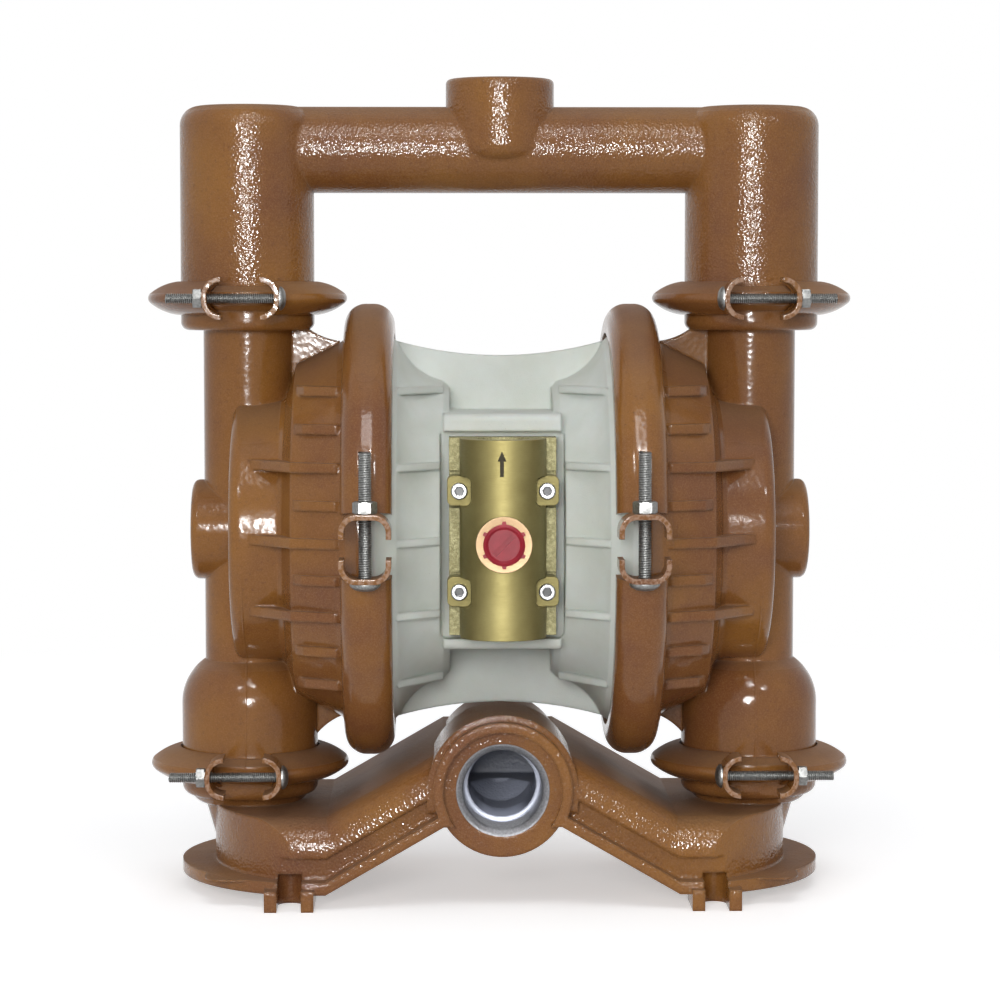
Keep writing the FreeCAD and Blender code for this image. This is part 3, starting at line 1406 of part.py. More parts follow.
def air_valve_inside():
    """Spool, end caps with rings and snap rings, and the gasket behind the valve."""
    place = dict(depth=-dim.valve_axis, height=dim.axis_height)
    bore = dim.spool_bore
    top_cap = dim.valve_top - dim.cap_inset - dim.cap_thickness
    low_cap = -(dim.valve_bottom - dim.cap_inset - dim.cap_thickness)
    start = low_cap + dim.seat_gap
    end = top_cap - dim.seat_gap - dim.spool_travel
    land = bore - dim.running_gap
    waist = bore - 5
    tall = (end - start) / 5
    spool = new_body("air_valve_spool", **place)
    sketch = outline(spool, "spool_profile", "XZ_Plane", [
        (0, start), (land, start), (land, start + tall), (waist, start + tall),
        (waist, start + tall * 2), (land, start + tall * 2), (land, start + tall * 3),
        (waist, start + tall * 3), (waist, start + tall * 4), (land, start + tall * 4),
        (land, end), (0, end),
    ])
    turn(spool, sketch, "V_Axis")
    keep(spool)
    wide = bore - dim.fit_gap
    section = dim.cap_ring_section
    floor = wide - section * 2 - 0.1
    rings = []
    clips = []
    for name, base, clip in (("top", top_cap, dim.valve_top - dim.cap_inset + 0.2),
                             ("bottom", low_cap - dim.cap_thickness,
                              -(dim.valve_bottom - dim.cap_inset + 0.2) - dim.snap_ring_thickness)):
        cap = new_body("air_valve_cap_" + name, **place)
        middle = base + dim.cap_thickness / 2
        sketch = outline(cap, "cap_profile", "XZ_Plane", [
            (0, base), (wide, base), (wide, middle - section - 0.2), (floor, middle - section - 0.2),
            (floor, middle + section + 0.2), (wide, middle + section + 0.2),
            (wide, base + dim.cap_thickness), (0, base + dim.cap_thickness),
        ])
        turn(cap, sketch, "V_Axis")
        keep(cap)
        ring = doc.addObject("Part::Torus", name + "_cap_ring")
        bind(ring, "Radius1", wide - section)
        bind(ring, "Radius2", section)
        bind(ring, ".Placement.Base.y", -dim.valve_axis)
        bind(ring, ".Placement.Base.z", dim.axis_height + middle)
        rings.append(ring)
        clip_body = new_body(name + "_snap_ring", **place)
        inner = wide - 2.6
        cut = 4
        outer_x = root(wide * wide - cut * cut)
        inner_x = root(inner * inner - cut * cut)
        sketch = outline(clip_body, "snap_ring_outline", "XY_Plane", [
            (cut, -outer_x, wide),
            (wide, 0, wide),
            (0, wide, wide),
            (-wide, 0, wide),
            (-cut, -outer_x),
            (-cut, -inner_x, -inner),
            (-inner, 0, -inner),
            (0, inner, -inner),
            (inner, 0, -inner),
            (cut, -inner_x),
        ], shift=clip)
        push(clip_body, sketch, dim.snap_ring_thickness)
        clips.append(clip_body)
    keep(group("end_cap_o_rings", rings))
    keep(group("snap_rings", clips))
    gasket = new_body("air_valve_gasket", height=dim.axis_height)
    sketch = outline(gasket, "gasket_outline", "XZ_Plane",
                     rectangle(dim.valve_half_width, -dim.valve_bottom, dim.valve_top),
                     shift=dim.pocket_floor)
    push(gasket, sketch, dim.gasket_thickness)
    clear = dim.screw_radius + dim.fit_gap
    holes = [place_of + (clear,) for place_of in screw_places()]
    holes.append((0, dim.exhaust_rise, dim.exhaust_bore))
    sketch = circles(gasket, "gasket_holes", "XZ_Plane", holes, shift=dim.pocket_floor - 1)
    push(gasket, sketch, 10, cut=True, backwards=True)
    keep(gasket)


def through_bolts():
    """Four socket-head bolts from the air valve through the block, with their nuts."""
    rear = dim.block_rear + dim.gasket_thickness + dim.rear_plate_thickness
    bolts = []
    nuts = []
    for number, (across, up) in enumerate(screw_places()):
        place = dict(across=across, height=dim.axis_height + up)
        bolt = new_body("through_bolt_%d" % number, **place)
        head = dim.screw_head_radius
        face = dim.lug_face
        top = face + dim.screw_head_height
        sketch = outline(bolt, "bolt_profile", "YZ_Plane", [
            (-top, 0), (-top, head - 0.6), (-(top - 0.6), head), (-face, head),
            (-face, dim.screw_radius), (rear + dim.screw_nut_height + 2, dim.screw_radius),
            (rear + dim.screw_nut_height + 2, 0),
        ])
        turn(bolt, sketch, "H_Axis")
        sketch = outline(bolt, "socket", "XZ_Plane", hexagon(dim.screw_socket), shift=top - 3)
        push(bolt, sketch, 10, cut=True, backwards=True)
        bolts.append(bolt)
        nut = new_body("through_nut_%d" % number, **place)
        sketch = outline(nut, "nut_outline", "XZ_Plane", hexagon(dim.screw_nut_flat), shift=-rear)
        push(nut, sketch, dim.screw_nut_height, backwards=True)
        sketch = circles(nut, "nut_hole", "XZ_Plane", [(0, 0, dim.screw_radius)], shift=-rear)
        push(nut, sketch, dim.screw_nut_height, cut=True)
        nuts.append(nut)
    keep(group("air_valve_bolts", bolts))
    keep(group("air_valve_nuts", nuts))


def air_inlet_plug():
    """Moulded transit plug in the air port, with six grip tabs and a coin slot."""
    plug = new_body("air_inlet_plug", height=dim.axis_height)
    face = dim.valve_port_face + dim.seat_gap
    cap = dim.plug_cap_radius
    top = face + dim.plug_cap_height
    stem = dim.air_thread - 0.1
    sketch = outline(plug, "plug_profile", "YZ_Plane", [
        (-(top - 1.2), 0),
        (-(top - 1.2), cap - 3),
        (-top, cap - 1.6),
        (-(top - 0.8), cap),
        (-face, cap),
        (-face, stem),
        (-(face - dim.plug_stem_length), stem - 0.5),
        (-(face - dim.plug_stem_length), 0),
    ])
    turn(plug, sketch, "H_Axis")
    half = dim.plug_tab
    sketch = outline(plug, "grip_tab", "XZ_Plane", [
        (-half, cap - 2), (half, cap - 2), (half * 0.6, cap + half), (-half * 0.6, cap + half),
    ], shift=face)
    tab = push(plug, sketch, dim.plug_cap_height - 0.9)
    around(plug, tab, sketch, "N_Axis", None, 6)
    sketch = outline(plug, "coin_slot", "XZ_Plane", [
        (-6.6, -4.6), (-4.6, -6.6), (6.6, 4.6), (4.6, 6.6),
    ], shift=top - 2.4)
    push(plug, sketch, 10, cut=True, backwards=True)
    keep(plug)


def exhaust_side():
    """Gasket, muffler plate and muffler on the rear of the block."""
    rear = dim.block_rear
    low = -(dim.block_bottom - 2)
    high = dim.block_top - 2
    wide = dim.rear_plate_half_width
    holes = [place + (dim.screw_radius + dim.fit_gap,) for place in screw_places()]
    gasket = new_body("muffler_gasket", height=dim.axis_height)
    sketch = outline(gasket, "gasket_outline", "XZ_Plane", rectangle(wide, low, high), shift=-rear)
    push(gasket, sketch, dim.gasket_thickness, backwards=True)
    sketch = circles(gasket, "gasket_holes", "XZ_Plane",
                     holes + [(0, dim.exhaust_rise, dim.exhaust_bore)], shift=-rear + 1)
    push(gasket, sketch, 10, cut=True)
    keep(gasket)
    plate = new_body("muffler_plate", height=dim.axis_height)
    near = rear + dim.gasket_thickness
    far = near + dim.rear_plate_thickness
    sketch = outline(plate, "plate_outline", "XZ_Plane", rectangle(wide, low, high), shift=-near)
    push(plate, sketch, dim.rear_plate_thickness, backwards=True)
    sketch = circles(plate, "exhaust_boss", "XZ_Plane",
                     [(0, dim.exhaust_rise, dim.rear_boss_radius)], shift=-far)
    push(plate, sketch, dim.rear_boss_depth, backwards=True)
    sketch = circles(plate, "plate_holes", "XZ_Plane",
                     holes + [(0, dim.exhaust_rise, dim.exhaust_bore)], shift=-near + 1)
    push(plate, sketch, 60, cut=True)
    face = far + dim.rear_boss_depth
    neck = dim.rear_boss_depth + 4
    sketch = circles(plate, "exhaust_thread", "XZ_Plane",
                     [(0, dim.exhaust_rise, dim.exhaust_thread)], shift=-(face - neck))
    push(plate, sketch, 60, cut=True)
    keep(plate)
    muffler = new_body("muffler", height=dim.axis_height + dim.exhaust_rise)
    thread = dim.exhaust_thread - 0.1
    shell = dim.muffler_radius
    start = face + 0.5
    corners = [(face - neck + 1, thread - 3), (face - neck + 1, thread), (start, thread),
               (start, shell - 4, -4), (start + 4, shell)]
    pitch = (dim.muffler_length - 14) / 4
    for number in range(4):
        ring = start + 10 + pitch * number
        corners += [(ring, shell), (ring, shell - 3), (ring + 4, shell - 3), (ring + 4, shell)]
    end = start + dim.muffler_length
    corners += [(end - 5, shell, -5), (end, shell - 5), (end, 0), (end - 4, 0), (end - 4, thread - 3)]
    sketch = outline(muffler, "muffler_profile", "YZ_Plane", corners)
    turn(muffler, sketch, "H_Axis")
    keep(muffler)


# Height of a ball's centre above its seat's top edge, and of the bore edge that stops it
ball_seat_rise = root(dim.ball_radius * dim.ball_radius - dim.seat_bore * dim.seat_bore) + dim.seat_gap
ball_stop_rise = (dim.seat_half_height + ball_seat_rise + dim.ball_lift + dim.seat_gap
                  + root(dim.ball_radius * dim.ball_radius - dim.pipe_bore * dim.pipe_bore))

discharge_manifold()
liquid_chamber()
centre_section()
small_clamps()
large_clamps()
band_bolt()
ring_bolt()
inlet_manifold()
seats_and_balls()
shaft_group()
air_valve_body()
air_valve_inside()
through_bolts()
air_inlet_plug()
exhaust_side()

doc.recompute()
faulty = [thing.Name for thing in doc.Objects if {"Invalid", "Error"} & set(thing.State)]
for label, thing in pieces.items():
    if thing.Shape.isNull() or not thing.Shape.isValid():
        faulty.append(label)
if faulty:
    raise RuntimeError("failed objects: " + ", ".join(faulty))
for label, thing in pieces.items():
    thing.Shape.exportStep("parts/%s.step" % label)
print("%d sub-parts written" % len(pieces))
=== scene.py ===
"""Looks of the air operated diaphragm pump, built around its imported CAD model."""

import json
import math

import bmesh
import bpy
from mathutils import Matrix, Vector


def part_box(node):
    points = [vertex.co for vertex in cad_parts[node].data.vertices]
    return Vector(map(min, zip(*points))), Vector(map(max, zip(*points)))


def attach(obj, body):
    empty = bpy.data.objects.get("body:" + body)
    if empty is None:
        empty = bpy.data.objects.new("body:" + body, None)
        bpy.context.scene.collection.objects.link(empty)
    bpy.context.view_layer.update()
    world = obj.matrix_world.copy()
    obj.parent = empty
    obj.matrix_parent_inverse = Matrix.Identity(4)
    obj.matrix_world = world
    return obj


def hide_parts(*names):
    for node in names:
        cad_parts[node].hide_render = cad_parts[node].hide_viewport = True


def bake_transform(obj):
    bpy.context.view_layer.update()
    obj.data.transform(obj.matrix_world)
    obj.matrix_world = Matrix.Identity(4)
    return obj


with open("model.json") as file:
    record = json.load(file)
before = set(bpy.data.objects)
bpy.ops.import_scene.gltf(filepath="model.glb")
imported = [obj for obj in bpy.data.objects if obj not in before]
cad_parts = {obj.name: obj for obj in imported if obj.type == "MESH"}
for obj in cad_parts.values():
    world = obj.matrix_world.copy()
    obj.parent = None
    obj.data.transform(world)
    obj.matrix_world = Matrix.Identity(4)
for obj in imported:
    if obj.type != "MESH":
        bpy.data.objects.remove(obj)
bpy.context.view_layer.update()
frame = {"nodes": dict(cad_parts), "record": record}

MM = 0.001
NODES = frame["nodes"]

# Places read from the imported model
VALVE_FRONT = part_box("air_valve_body")[0].y
DISCHARGE_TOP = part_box("discharge_manifold")[1].z
LARGE_EAR_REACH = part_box("large_clamp_left_upper")[1].y
SMALL_EAR_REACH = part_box("small_clamp_inlet_left_outer")[1].y
DIAPHRAGM_LOW, DIAPHRAGM_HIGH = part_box("diaphragm_left")
BALL_LOW, BALL_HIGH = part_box("valve_ball_inlet_right")
SPOOL_LOW, SPOOL_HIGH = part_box("air_valve_spool")
AXIS_HEIGHT = (DIAPHRAGM_LOW.z + DIAPHRAGM_HIGH.z) / 2
COLUMN_OFFSET = (BALL_LOW.x + BALL_HIGH.x) / 2
VALVE_AXIS = (SPOOL_LOW.y + SPOOL_HIGH.y) / 2

# Ports that are machined after painting, and the dark ducts behind them. Depths go in from the port
SUCTION_HEIGHT = 72.0 * MM
SUCTION_FACE = -90.0 * MM
SUCTION_BORE = 24.2 * MM
SUCTION_BEVEL = 4.0 * MM
SUCTION_BARE_DEPTH = 60.0 * MM
SUCTION_DARK_FROM = 25.0 * MM
DUCT_REAR = 34.0 * MM
DISCHARGE_BORE = 20.9 * MM
DISCHARGE_BARE_DEPTH = 32.0 * MM
DISCHARGE_DARK_DEPTH = 38.0 * MM

# Seam that the mould leaves on the columns, up to a height
SEAM_TOP = 200.0 * MM
SEAM_HALF = 0.25 * MM

# Bolts of the large clamps, measured from the shaft's height
LARGE_ACROSS = 82.0 * MM
LARGE_DEPTH = 150.5 * MM
LARGE_GAP = 20.5 * MM
LARGE_END = 57.0 * MM
LARGE_RADIUS = 4.0 * MM
LARGE_PITCH = 1.4 * MM
LARGE_THREAD = 0.6 * MM
LARGE_HEAD = 9.0 * MM
LARGE_HEAD_RISE = 4.5 * MM
LARGE_FLAT = 12.7 * MM
LARGE_NUT = 7.2 * MM

# Bolts of the small clamps, measured outwards from the column
SMALL_DEPTH = 68.0 * MM
SMALL_GAP = 23.5 * MM
SMALL_END = 46.0 * MM
SMALL_RADIUS = 3.15 * MM
SMALL_PITCH = 1.27 * MM
SMALL_THREAD = 0.55 * MM
SMALL_HEAD = 7.3 * MM
SMALL_HEAD_RISE = 4.0 * MM
SMALL_FLAT = 11.1 * MM
SMALL_NUT = 5.6 * MM
JOINT_HEIGHTS = (77.0 * MM, 371.0 * MM)

# Facets and forms that all bolts and nuts share
THREAD_SIDES = 20
THREAD_CREST = 0.42
HEAD_SIDES = 32
NUT_SIDES = 24
HEAD_PROFILE = ((1.0, 0.0), (0.98, 0.28), (0.86, 0.58), (0.62, 0.82),
                (0.34, 0.97), (0.18, 1.0), (0.0, 1.0))

# Degrees between two faces from which their edge stays crisp
CREASE_ANGLE = 32.0

# Screws, lugs and rails of the air valve, and the turning marks on its port
LUG_SPREAD = 26.5 * MM
LUG_RISE = 30.5 * MM
LUG_FACE = -98.0 * MM
LUG_INNER = 18.0 * MM
SCREW_SOCKET = 2.7 * MM
RAIL_FRONT = 2.5 * MM
TURNING_PITCH = 0.55 * MM

# Arrow on the valve barrel. Its outline gives millimetres down from the tip, and half the width there
BARREL_RADIUS = 26.0 * MM
ARROW_SKIN = 0.04 * MM
ARROW_TIP = 55.5 * MM
ARROW_SHIFT = -1.2 * MM
ARROW_COLUMNS = 8
ARROW_OUTLINE = ((0.0, 0.12), (1.8, 0.85), (3.8, 1.75), (6.0, 2.65),
                 (6.01, 1.15), (10.0, 1.15), (15.2, 1.15))

# Section of a diaphragm: clamped rim, rolled fold and a flat middle between the pistons
SHEET_OFFSET = 82.0 * MM
SHEET_HALF = 2.0 * MM
BEAD_HALF = 1.5 * MM
SHEET_HOLE = 6.35 * MM
SHEET_MIDDLE = 30.0 * MM
FOLD_INNER = 55.0 * MM
FOLD_OUTER = 103.0 * MM
FOLD_DEPTH = 11.0 * MM
SHEET_RIM = 129.5 * MM
SHEET_SECTORS = 8
SECTOR_STEPS = 6
FOLD_STEPS = 24

# Linear colours
PAINT = (0.262, 0.110, 0.022)
PAINT_DARK = (0.168, 0.062, 0.024)
PAINT_GRIME = (0.100, 0.034, 0.020)
PAINT_WORN = (0.400, 0.215, 0.095)
PAINT_RUBBED = (0.400, 0.250, 0.170)
DUST = (0.170, 0.125, 0.085)
BARE_CAST = (0.300, 0.302, 0.315)
BARE_DARK = (0.200, 0.202, 0.212)
BORE_DARK = (0.300, 0.320, 0.390)
PLASTIC = (0.640, 0.675, 0.640)
PLASTIC_DULL = (0.560, 0.588, 0.530)
PLASTIC_SPECK = (0.330, 0.340, 0.330)
BRASS = (0.232, 0.200, 0.082)
BRASS_DARK = (0.158, 0.132, 0.048)
# Painted shade for the flat faces of the valve's lugs
BRASS_LUG_SHADE = (0.120, 0.102, 0.040)
BRASS_CAST = (0.370, 0.350, 0.200)
BRASS_PIT = (0.200, 0.180, 0.090)
MACHINED_BRASS = (0.360, 0.250, 0.145)
ENGRAVED = (0.050, 0.040, 0.018)
ENGRAVED_DARK = (0.030, 0.024, 0.012)
ZINC = (0.300, 0.302, 0.292)
ZINC_DARK = (0.150, 0.152, 0.151)
STEEL = (0.400, 0.405, 0.410)
STEEL_DARK = (0.220, 0.220, 0.225)
RED = (0.370, 0.020, 0.034)
RED_DARK = (0.270, 0.014, 0.026)
# Painted shade inside the screw sockets
SOCKET_SHADE = (0.045, 0.045, 0.048)
BRONZE = (0.450, 0.290, 0.130)
BRONZE_DARK = (0.280, 0.170, 0.070)
ALUMINIUM = (0.450, 0.450, 0.450)
ALUMINIUM_DARK = (0.280, 0.280, 0.280)
WHITE_PLASTIC = (0.800, 0.800, 0.770)
WHITE_PLASTIC_DARK = (0.700, 0.700, 0.660)
RUBBER = (0.030, 0.030, 0.032)
RUBBER_DARK = (0.018, 0.018, 0.019)
BLACK_PLASTIC = (0.040, 0.040, 0.042)
BLACK_PLASTIC_DARK = (0.022, 0.022, 0.023)
FLOOR = (0.900, 0.900, 0.900)
SKY = (0.360, 0.365, 0.380)
WHITE = (1.0, 1.0, 1.0)
BLACK = (0.0, 0.0, 0.0)

# Floor: half its side, where it turns white, and its own glow under the pump
FLOOR_HALF = 8.0
FLOOR_NEAR = 0.55
FLOOR_FAR = 1.30
FLOOR_GLOW = 0.42

# The camera stands where the photograph was taken from
CAMERA_PLACE = Vector((-0.039, -1.900, 0.376))
CAMERA_PITCH = 4.0
CAMERA_YAW = 1.18
CAMERA_LENS = 108.0
SENSOR_WIDTH = 36.0
LAMP_AIM = Vector((0.0, 0.0, 0.25))

# Lamps: name, place, width, height and power. Soft ones light the pump, streak ones show as highlights
SOFT_LAMPS = (
    ("front", (-0.35, -2.30, 0.66), 0.80, 0.60, 25.0),
    ("overhead", (0.0, -0.9, 2.3), 1.2, 1.2, 10.0),
    ("left", (-2.2, -1.0, 1.0), 0.9, 0.9, 6.0),
    ("right", (2.2, -1.0, 1.0), 0.9, 0.9, 6.0),
    ("back", (0.4, 2.3, 1.2), 1.2, 1.2, 12.0),
)
STREAK_LAMPS = (
    ("flash", (-0.14, -2.25, 0.48), 0.10, 0.14, 36.0),
    ("strip", (0.0, -2.25, 0.66), 0.66, 0.03, 20.0),
    ("sheen", (0.0, -1.5, 2.2), 0.5, 0.8, 14.0),
    ("ceiling_left", (-0.75, -1.9, 1.7), 0.08, 0.08, 9.0),
    ("ceiling_middle", (0.15, -1.9, 1.9), 0.08, 0.08, 9.0),
    ("ceiling_right", (0.95, -1.9, 1.6), 0.08, 0.08, 9.0),
)


class Shader:
    """A node material that is put together by short calls."""

    def __init__(self, name):
        self.material = bpy.data.materials.new(name)
        self.material.use_nodes = True
        self.tree = self.material.node_tree
        self.tree.nodes.clear()
        self.output = self.tree.nodes.new("ShaderNodeOutputMaterial")
        self.surface = self.tree.nodes.new("ShaderNodeBsdfPrincipled")
        self.tree.links.new(self.surface.outputs["BSDF"], self.output.inputs["Surface"])
        self.place = self.tree.nodes.new("ShaderNodeTexCoord").outputs["Object"]

    def wear(self, **values):
        """Give the surface its links and its constant values, and return the material."""
        for name, value in values.items():
            self.feed(self.surface.inputs[name.replace("_", " ")], value)
        return self.material

    def add(self, kind, **values):
        """Add a node and set its named inputs or properties."""
        node = self.tree.nodes.new(kind)
        for name, value in values.items():
            if hasattr(node, name):
                setattr(node, name, value)
            else:
                self.feed(node.inputs[name.replace("_", " ")], value)
        return node

    def feed(self, socket, value):
        """Link a socket to another, or give it a value."""
        if isinstance(value, bpy.types.NodeSocket):
            self.tree.links.new(value, socket)
        elif isinstance(value, tuple) and len(value) == 3 and socket.type == "RGBA":
            socket.default_value = (*value, 1.0)
        else:
            socket.default_value = value

    def noise(self, scale, detail=2.0, roughness=0.5, place=None):
        """Noise between 0 and 1 at a number of cells per metre."""
        node = self.add("ShaderNodeTexNoise", Scale=scale, Detail=detail, Roughness=roughness)
        self.feed(node.inputs["Vector"], place or self.place)
        return node.outputs["Fac"]

    def cells(self, scale, smooth=0.4):
        """Rounded bumps of even size."""
        node = self.add("ShaderNodeTexVoronoi", feature="SMOOTH_F1", Scale=scale, Smoothness=smooth)
        self.feed(node.inputs["Vector"], self.place)
        return node.outputs["Distance"]

    def ramp(self, value, low, high):
        """Map the span from low to high onto 0 to 1, and hold it beyond."""
        node = self.add("ShaderNodeMapRange", clamp=True)
        self.feed(node.inputs["Value"], value)
        self.feed(node.inputs["From Min"], low)
        self.feed(node.inputs["From Max"], high)
        return node.outputs["Result"]

    def math(self, operation, first, second=0.0):
        """One step of arithmetic."""
        node = self.add("ShaderNodeMath", operation=operation)
        self.feed(node.inputs[0], first)
        self.feed(node.inputs[1], second)
        return node.outputs["Value"]

    def scaled(self, value, share):
        """A value times a number or another value."""
        return self.math("MULTIPLY", value, share)

    def patches(self, low, high, *noise):
        """Noise whose middle is stretched, so that it shows as patches."""
        return self.ramp(self.noise(*noise), low, high)

    def mix(self, share, first, second):
        """Blend two colours."""
        node = self.add("ShaderNodeMix", data_type="RGBA")
        self.feed(node.inputs["Factor"], share)
        self.feed(node.inputs["A"], first)
        self.feed(node.inputs["B"], second)
        return node.outputs["Result"]

    def axes(self):
        """The three coordinates of a point in the row frame."""
        node = self.add("ShaderNodeSeparateXYZ")
        self.feed(node.inputs[0], self.place)
        return node.outputs["X"], node.outputs["Y"], node.outputs["Z"]

    def stretched(self, x, y, z):
        """The point with each axis scaled, for grain that runs one way."""
        node = self.add("ShaderNodeMapping", vector_type="POINT")
        self.feed(node.inputs["Vector"], self.place)
        node.inputs["Scale"].default_value = (x, y, z)
        return node.outputs["Vector"]

    def edges(self, radius):
        """1 on sharp edges and 0 on even faces."""
        bevel = self.add("ShaderNodeBevel", samples=6, Radius=radius)
        plain = self.add("ShaderNodeNewGeometry")
        dot = self.add("ShaderNodeVectorMath", operation="DOT_PRODUCT")
        self.feed(dot.inputs[0], bevel.outputs["Normal"])
        self.feed(dot.inputs[1], plain.outputs["Normal"])
        return self.ramp(dot.outputs["Value"], 0.995, 0.80)

    def soft_edges(self, radius):
        """Surface direction with its edges and inner corners rounded."""
        return self.add("ShaderNodeBevel", samples=6, Radius=radius).outputs["Normal"]

    def bump(self, height, depth, strength=1.0, normal=None):
        """Raise the surface by a height between 0 and 1 of the given depth."""
        node = self.add("ShaderNodeBump", Strength=strength, Distance=depth)
        self.feed(node.inputs["Height"], height)
        if normal is not None:
            self.feed(node.inputs["Normal"], normal)
        return node.outputs["Normal"]

    def facing(self, axis, low, high):
        """0 where the surface direction along an axis is low, and 1 where it is high."""
        node = self.add("ShaderNodeSeparateXYZ")
        self.feed(node.inputs[0], self.add("ShaderNodeNewGeometry").outputs["Normal"])
        return self.ramp(node.outputs[axis], low, high)

    def near(self, value, middle, half, soft):
        """1 within half of the middle, falling to 0 over a soft edge."""
        gap = self.math("ABSOLUTE", self.math("SUBTRACT", value, middle))
        return self.ramp(gap, half + soft, half)

    def radius(self, first, second, at_first, at_second):
        """Distance from an axis, in the plane of two coordinates."""
        one = self.math("SUBTRACT", first, at_first)
        two = self.math("SUBTRACT", second, at_second)
        total = self.math("ADD", self.scaled(one, one), self.scaled(two, two))
        return self.math("SQRT", total)


def paint_shader(name, peel, peel_depth, soft, bare=None, rubbed_face=None, ridge=None):
    """Glossy orange-brown enamel over cast iron, with orange peel and rubbed edges."""
    shader = Shader(name)
    colour = shader.mix(shader.patches(0.34, 0.66, 11.0, 4.0, 0.6), PAINT_DARK, PAINT)
    grime = shader.patches(0.56, 0.80, 380.0, 3.0, 0.7)
    colour = shader.mix(shader.scaled(grime, 0.55), colour, PAINT_GRIME)
    grain = shader.patches(0.45, 0.75, 1100.0, 2.0, 0.7)
    colour = shader.mix(shader.scaled(grain, 0.30), colour, PAINT_WORN)
    rubbed = shader.scaled(shader.edges(1.0 * MM), shader.patches(0.42, 0.66, 150.0, 3.0))
    colour = shader.mix(shader.scaled(rubbed, 0.65), colour, PAINT_WORN)
    rough = shader.math("ADD", shader.scaled(shader.noise(60.0, 3.0), 0.12), 0.08)
    dust = shader.facing("Z", 0.60, 0.90)
    colour = shader.mix(shader.scaled(dust, 0.30), colour, DUST)
    rough = shader.math("ADD", rough, shader.scaled(dust, 0.50))
    waves = shader.scaled(shader.noise(peel * 0.4, 2.0), 1.3)
    height = shader.math("ADD", shader.cells(peel), waves)
    metal = 0.0
    if rubbed_face:
        mask = shader.scaled(rubbed_face(shader), shader.patches(0.42, 0.58, 520.0, 4.0))
        colour = shader.mix(shader.scaled(mask, 0.75), colour, PAINT_RUBBED)
    if bare:
        ground, dark = bare(shader)
        tone = shader.mix(shader.patches(0.3, 0.7, 700.0, 3.0), BARE_DARK, BARE_CAST)
        colour = shader.mix(ground, colour, tone)
        colour = shader.mix(dark, colour, BORE_DARK)
        metal = ground
        rough = shader.math("ADD", rough, shader.scaled(shader.math("MAXIMUM", ground, dark), 0.28))
        height = shader.scaled(height, shader.math("SUBTRACT", 1.0, ground))
    if ridge:
        height = shader.math("ADD", height, shader.scaled(ridge(shader), 3.0))
    normal = shader.bump(height, peel_depth, 1.0, shader.soft_edges(soft))
    return shader.wear(Base_Color=colour, Roughness=rough, Metallic=metal, Normal=normal,
                       Specular_IOR_Level=0.26)


def suction_bare(shader):
    """The bored face of the suction port, and the dark unpainted duct behind it."""
    x, y, z = shader.axes()
    distance = shader.radius(x, z, 0.0, SUCTION_HEIGHT)
    edge = SUCTION_BORE + SUCTION_BEVEL
    inside = shader.ramp(distance, edge + 0.6 * MM, edge)
    rear = SUCTION_FACE + SUCTION_BARE_DEPTH
    front = shader.ramp(y, rear, rear - 4.0 * MM)
    dark_from = SUCTION_FACE + SUCTION_DARK_FROM
    deep = shader.ramp(y, dark_from, dark_from + 4.0 * MM)
    deep = shader.scaled(deep, shader.ramp(y, DUCT_REAR + 2.0 * MM, DUCT_REAR + 1.0 * MM))
    deep = shader.scaled(deep, shader.facing("Y", 0.5, 0.3))
    around = shader.ramp(distance, edge + 12.0 * MM, edge)
    return shader.scaled(inside, front), shader.scaled(deep, around)


def discharge_bare(shader):
    """The bored mouth of the discharge port, and the dark inside below it."""
    x, y, z = shader.axes()
    distance = shader.radius(x, y, 0.0, 0.0)
    inside = shader.ramp(distance, DISCHARGE_BORE + 2.6 * MM, DISCHARGE_BORE + 2.1 * MM)
    low = DISCHARGE_TOP - DISCHARGE_BARE_DEPTH
    top = shader.ramp(z, low, low + 4.0 * MM)
    deep = shader.near(z, DISCHARGE_TOP - DISCHARGE_DARK_DEPTH, 10.0 * MM, 4.0 * MM)
    return shader.scaled(inside, top), shader.scaled(inside, deep)


def large_ear_face(shader):
    """The outer faces of a large clamp's ears, where the enamel is rubbed off."""
    depth = shader.math("ABSOLUTE", shader.axes()[1])
    return shader.ramp(depth, LARGE_EAR_REACH - 1.6 * MM, LARGE_EAR_REACH - 0.8 * MM)


def small_ear_face(shader):
    """The outer faces of a small clamp's ears."""
    depth = shader.math("ABSOLUTE", shader.axes()[1])
    return shader.ramp(depth, SMALL_EAR_REACH - 1.4 * MM, SMALL_EAR_REACH - 0.7 * MM)


def parting_line(shader):
    """The fine seam that the mould leaves down the middle of each column."""
    x, y, z = shader.axes()
    line = shader.near(shader.math("ABSOLUTE", x), COLUMN_OFFSET, SEAM_HALF, 0.5 * MM)
    return shader.scaled(line, shader.ramp(z, SEAM_TOP + 5.0 * MM, SEAM_TOP - 5.0 * MM))


def plastic_shader():
    """Moulded light grey plastic with faint mottling and handling marks."""
    shader = Shader("grey_plastic")
    colour = shader.mix(shader.patches(0.30, 0.70, 22.0, 5.0, 0.6), PLASTIC_DULL, PLASTIC)
    specks = shader.patches(0.66, 0.80, 700.0, 2.0, 0.7)
    colour = shader.mix(shader.scaled(specks, 0.30), colour, PLASTIC_SPECK)
    rough = shader.math("ADD", shader.scaled(shader.noise(90.0, 3.0), 0.18), 0.46)
    height = shader.math("ADD", shader.noise(1400.0, 2.0), shader.noise(120.0, 2.0))
    normal = shader.bump(height, 0.10 * MM, 1.0, shader.soft_edges(2.5 * MM))
    return shader.wear(Base_Color=colour, Roughness=rough, Normal=normal, Subsurface_Weight=0.06,
                       Subsurface_Scale=0.004, Specular_IOR_Level=0.25)


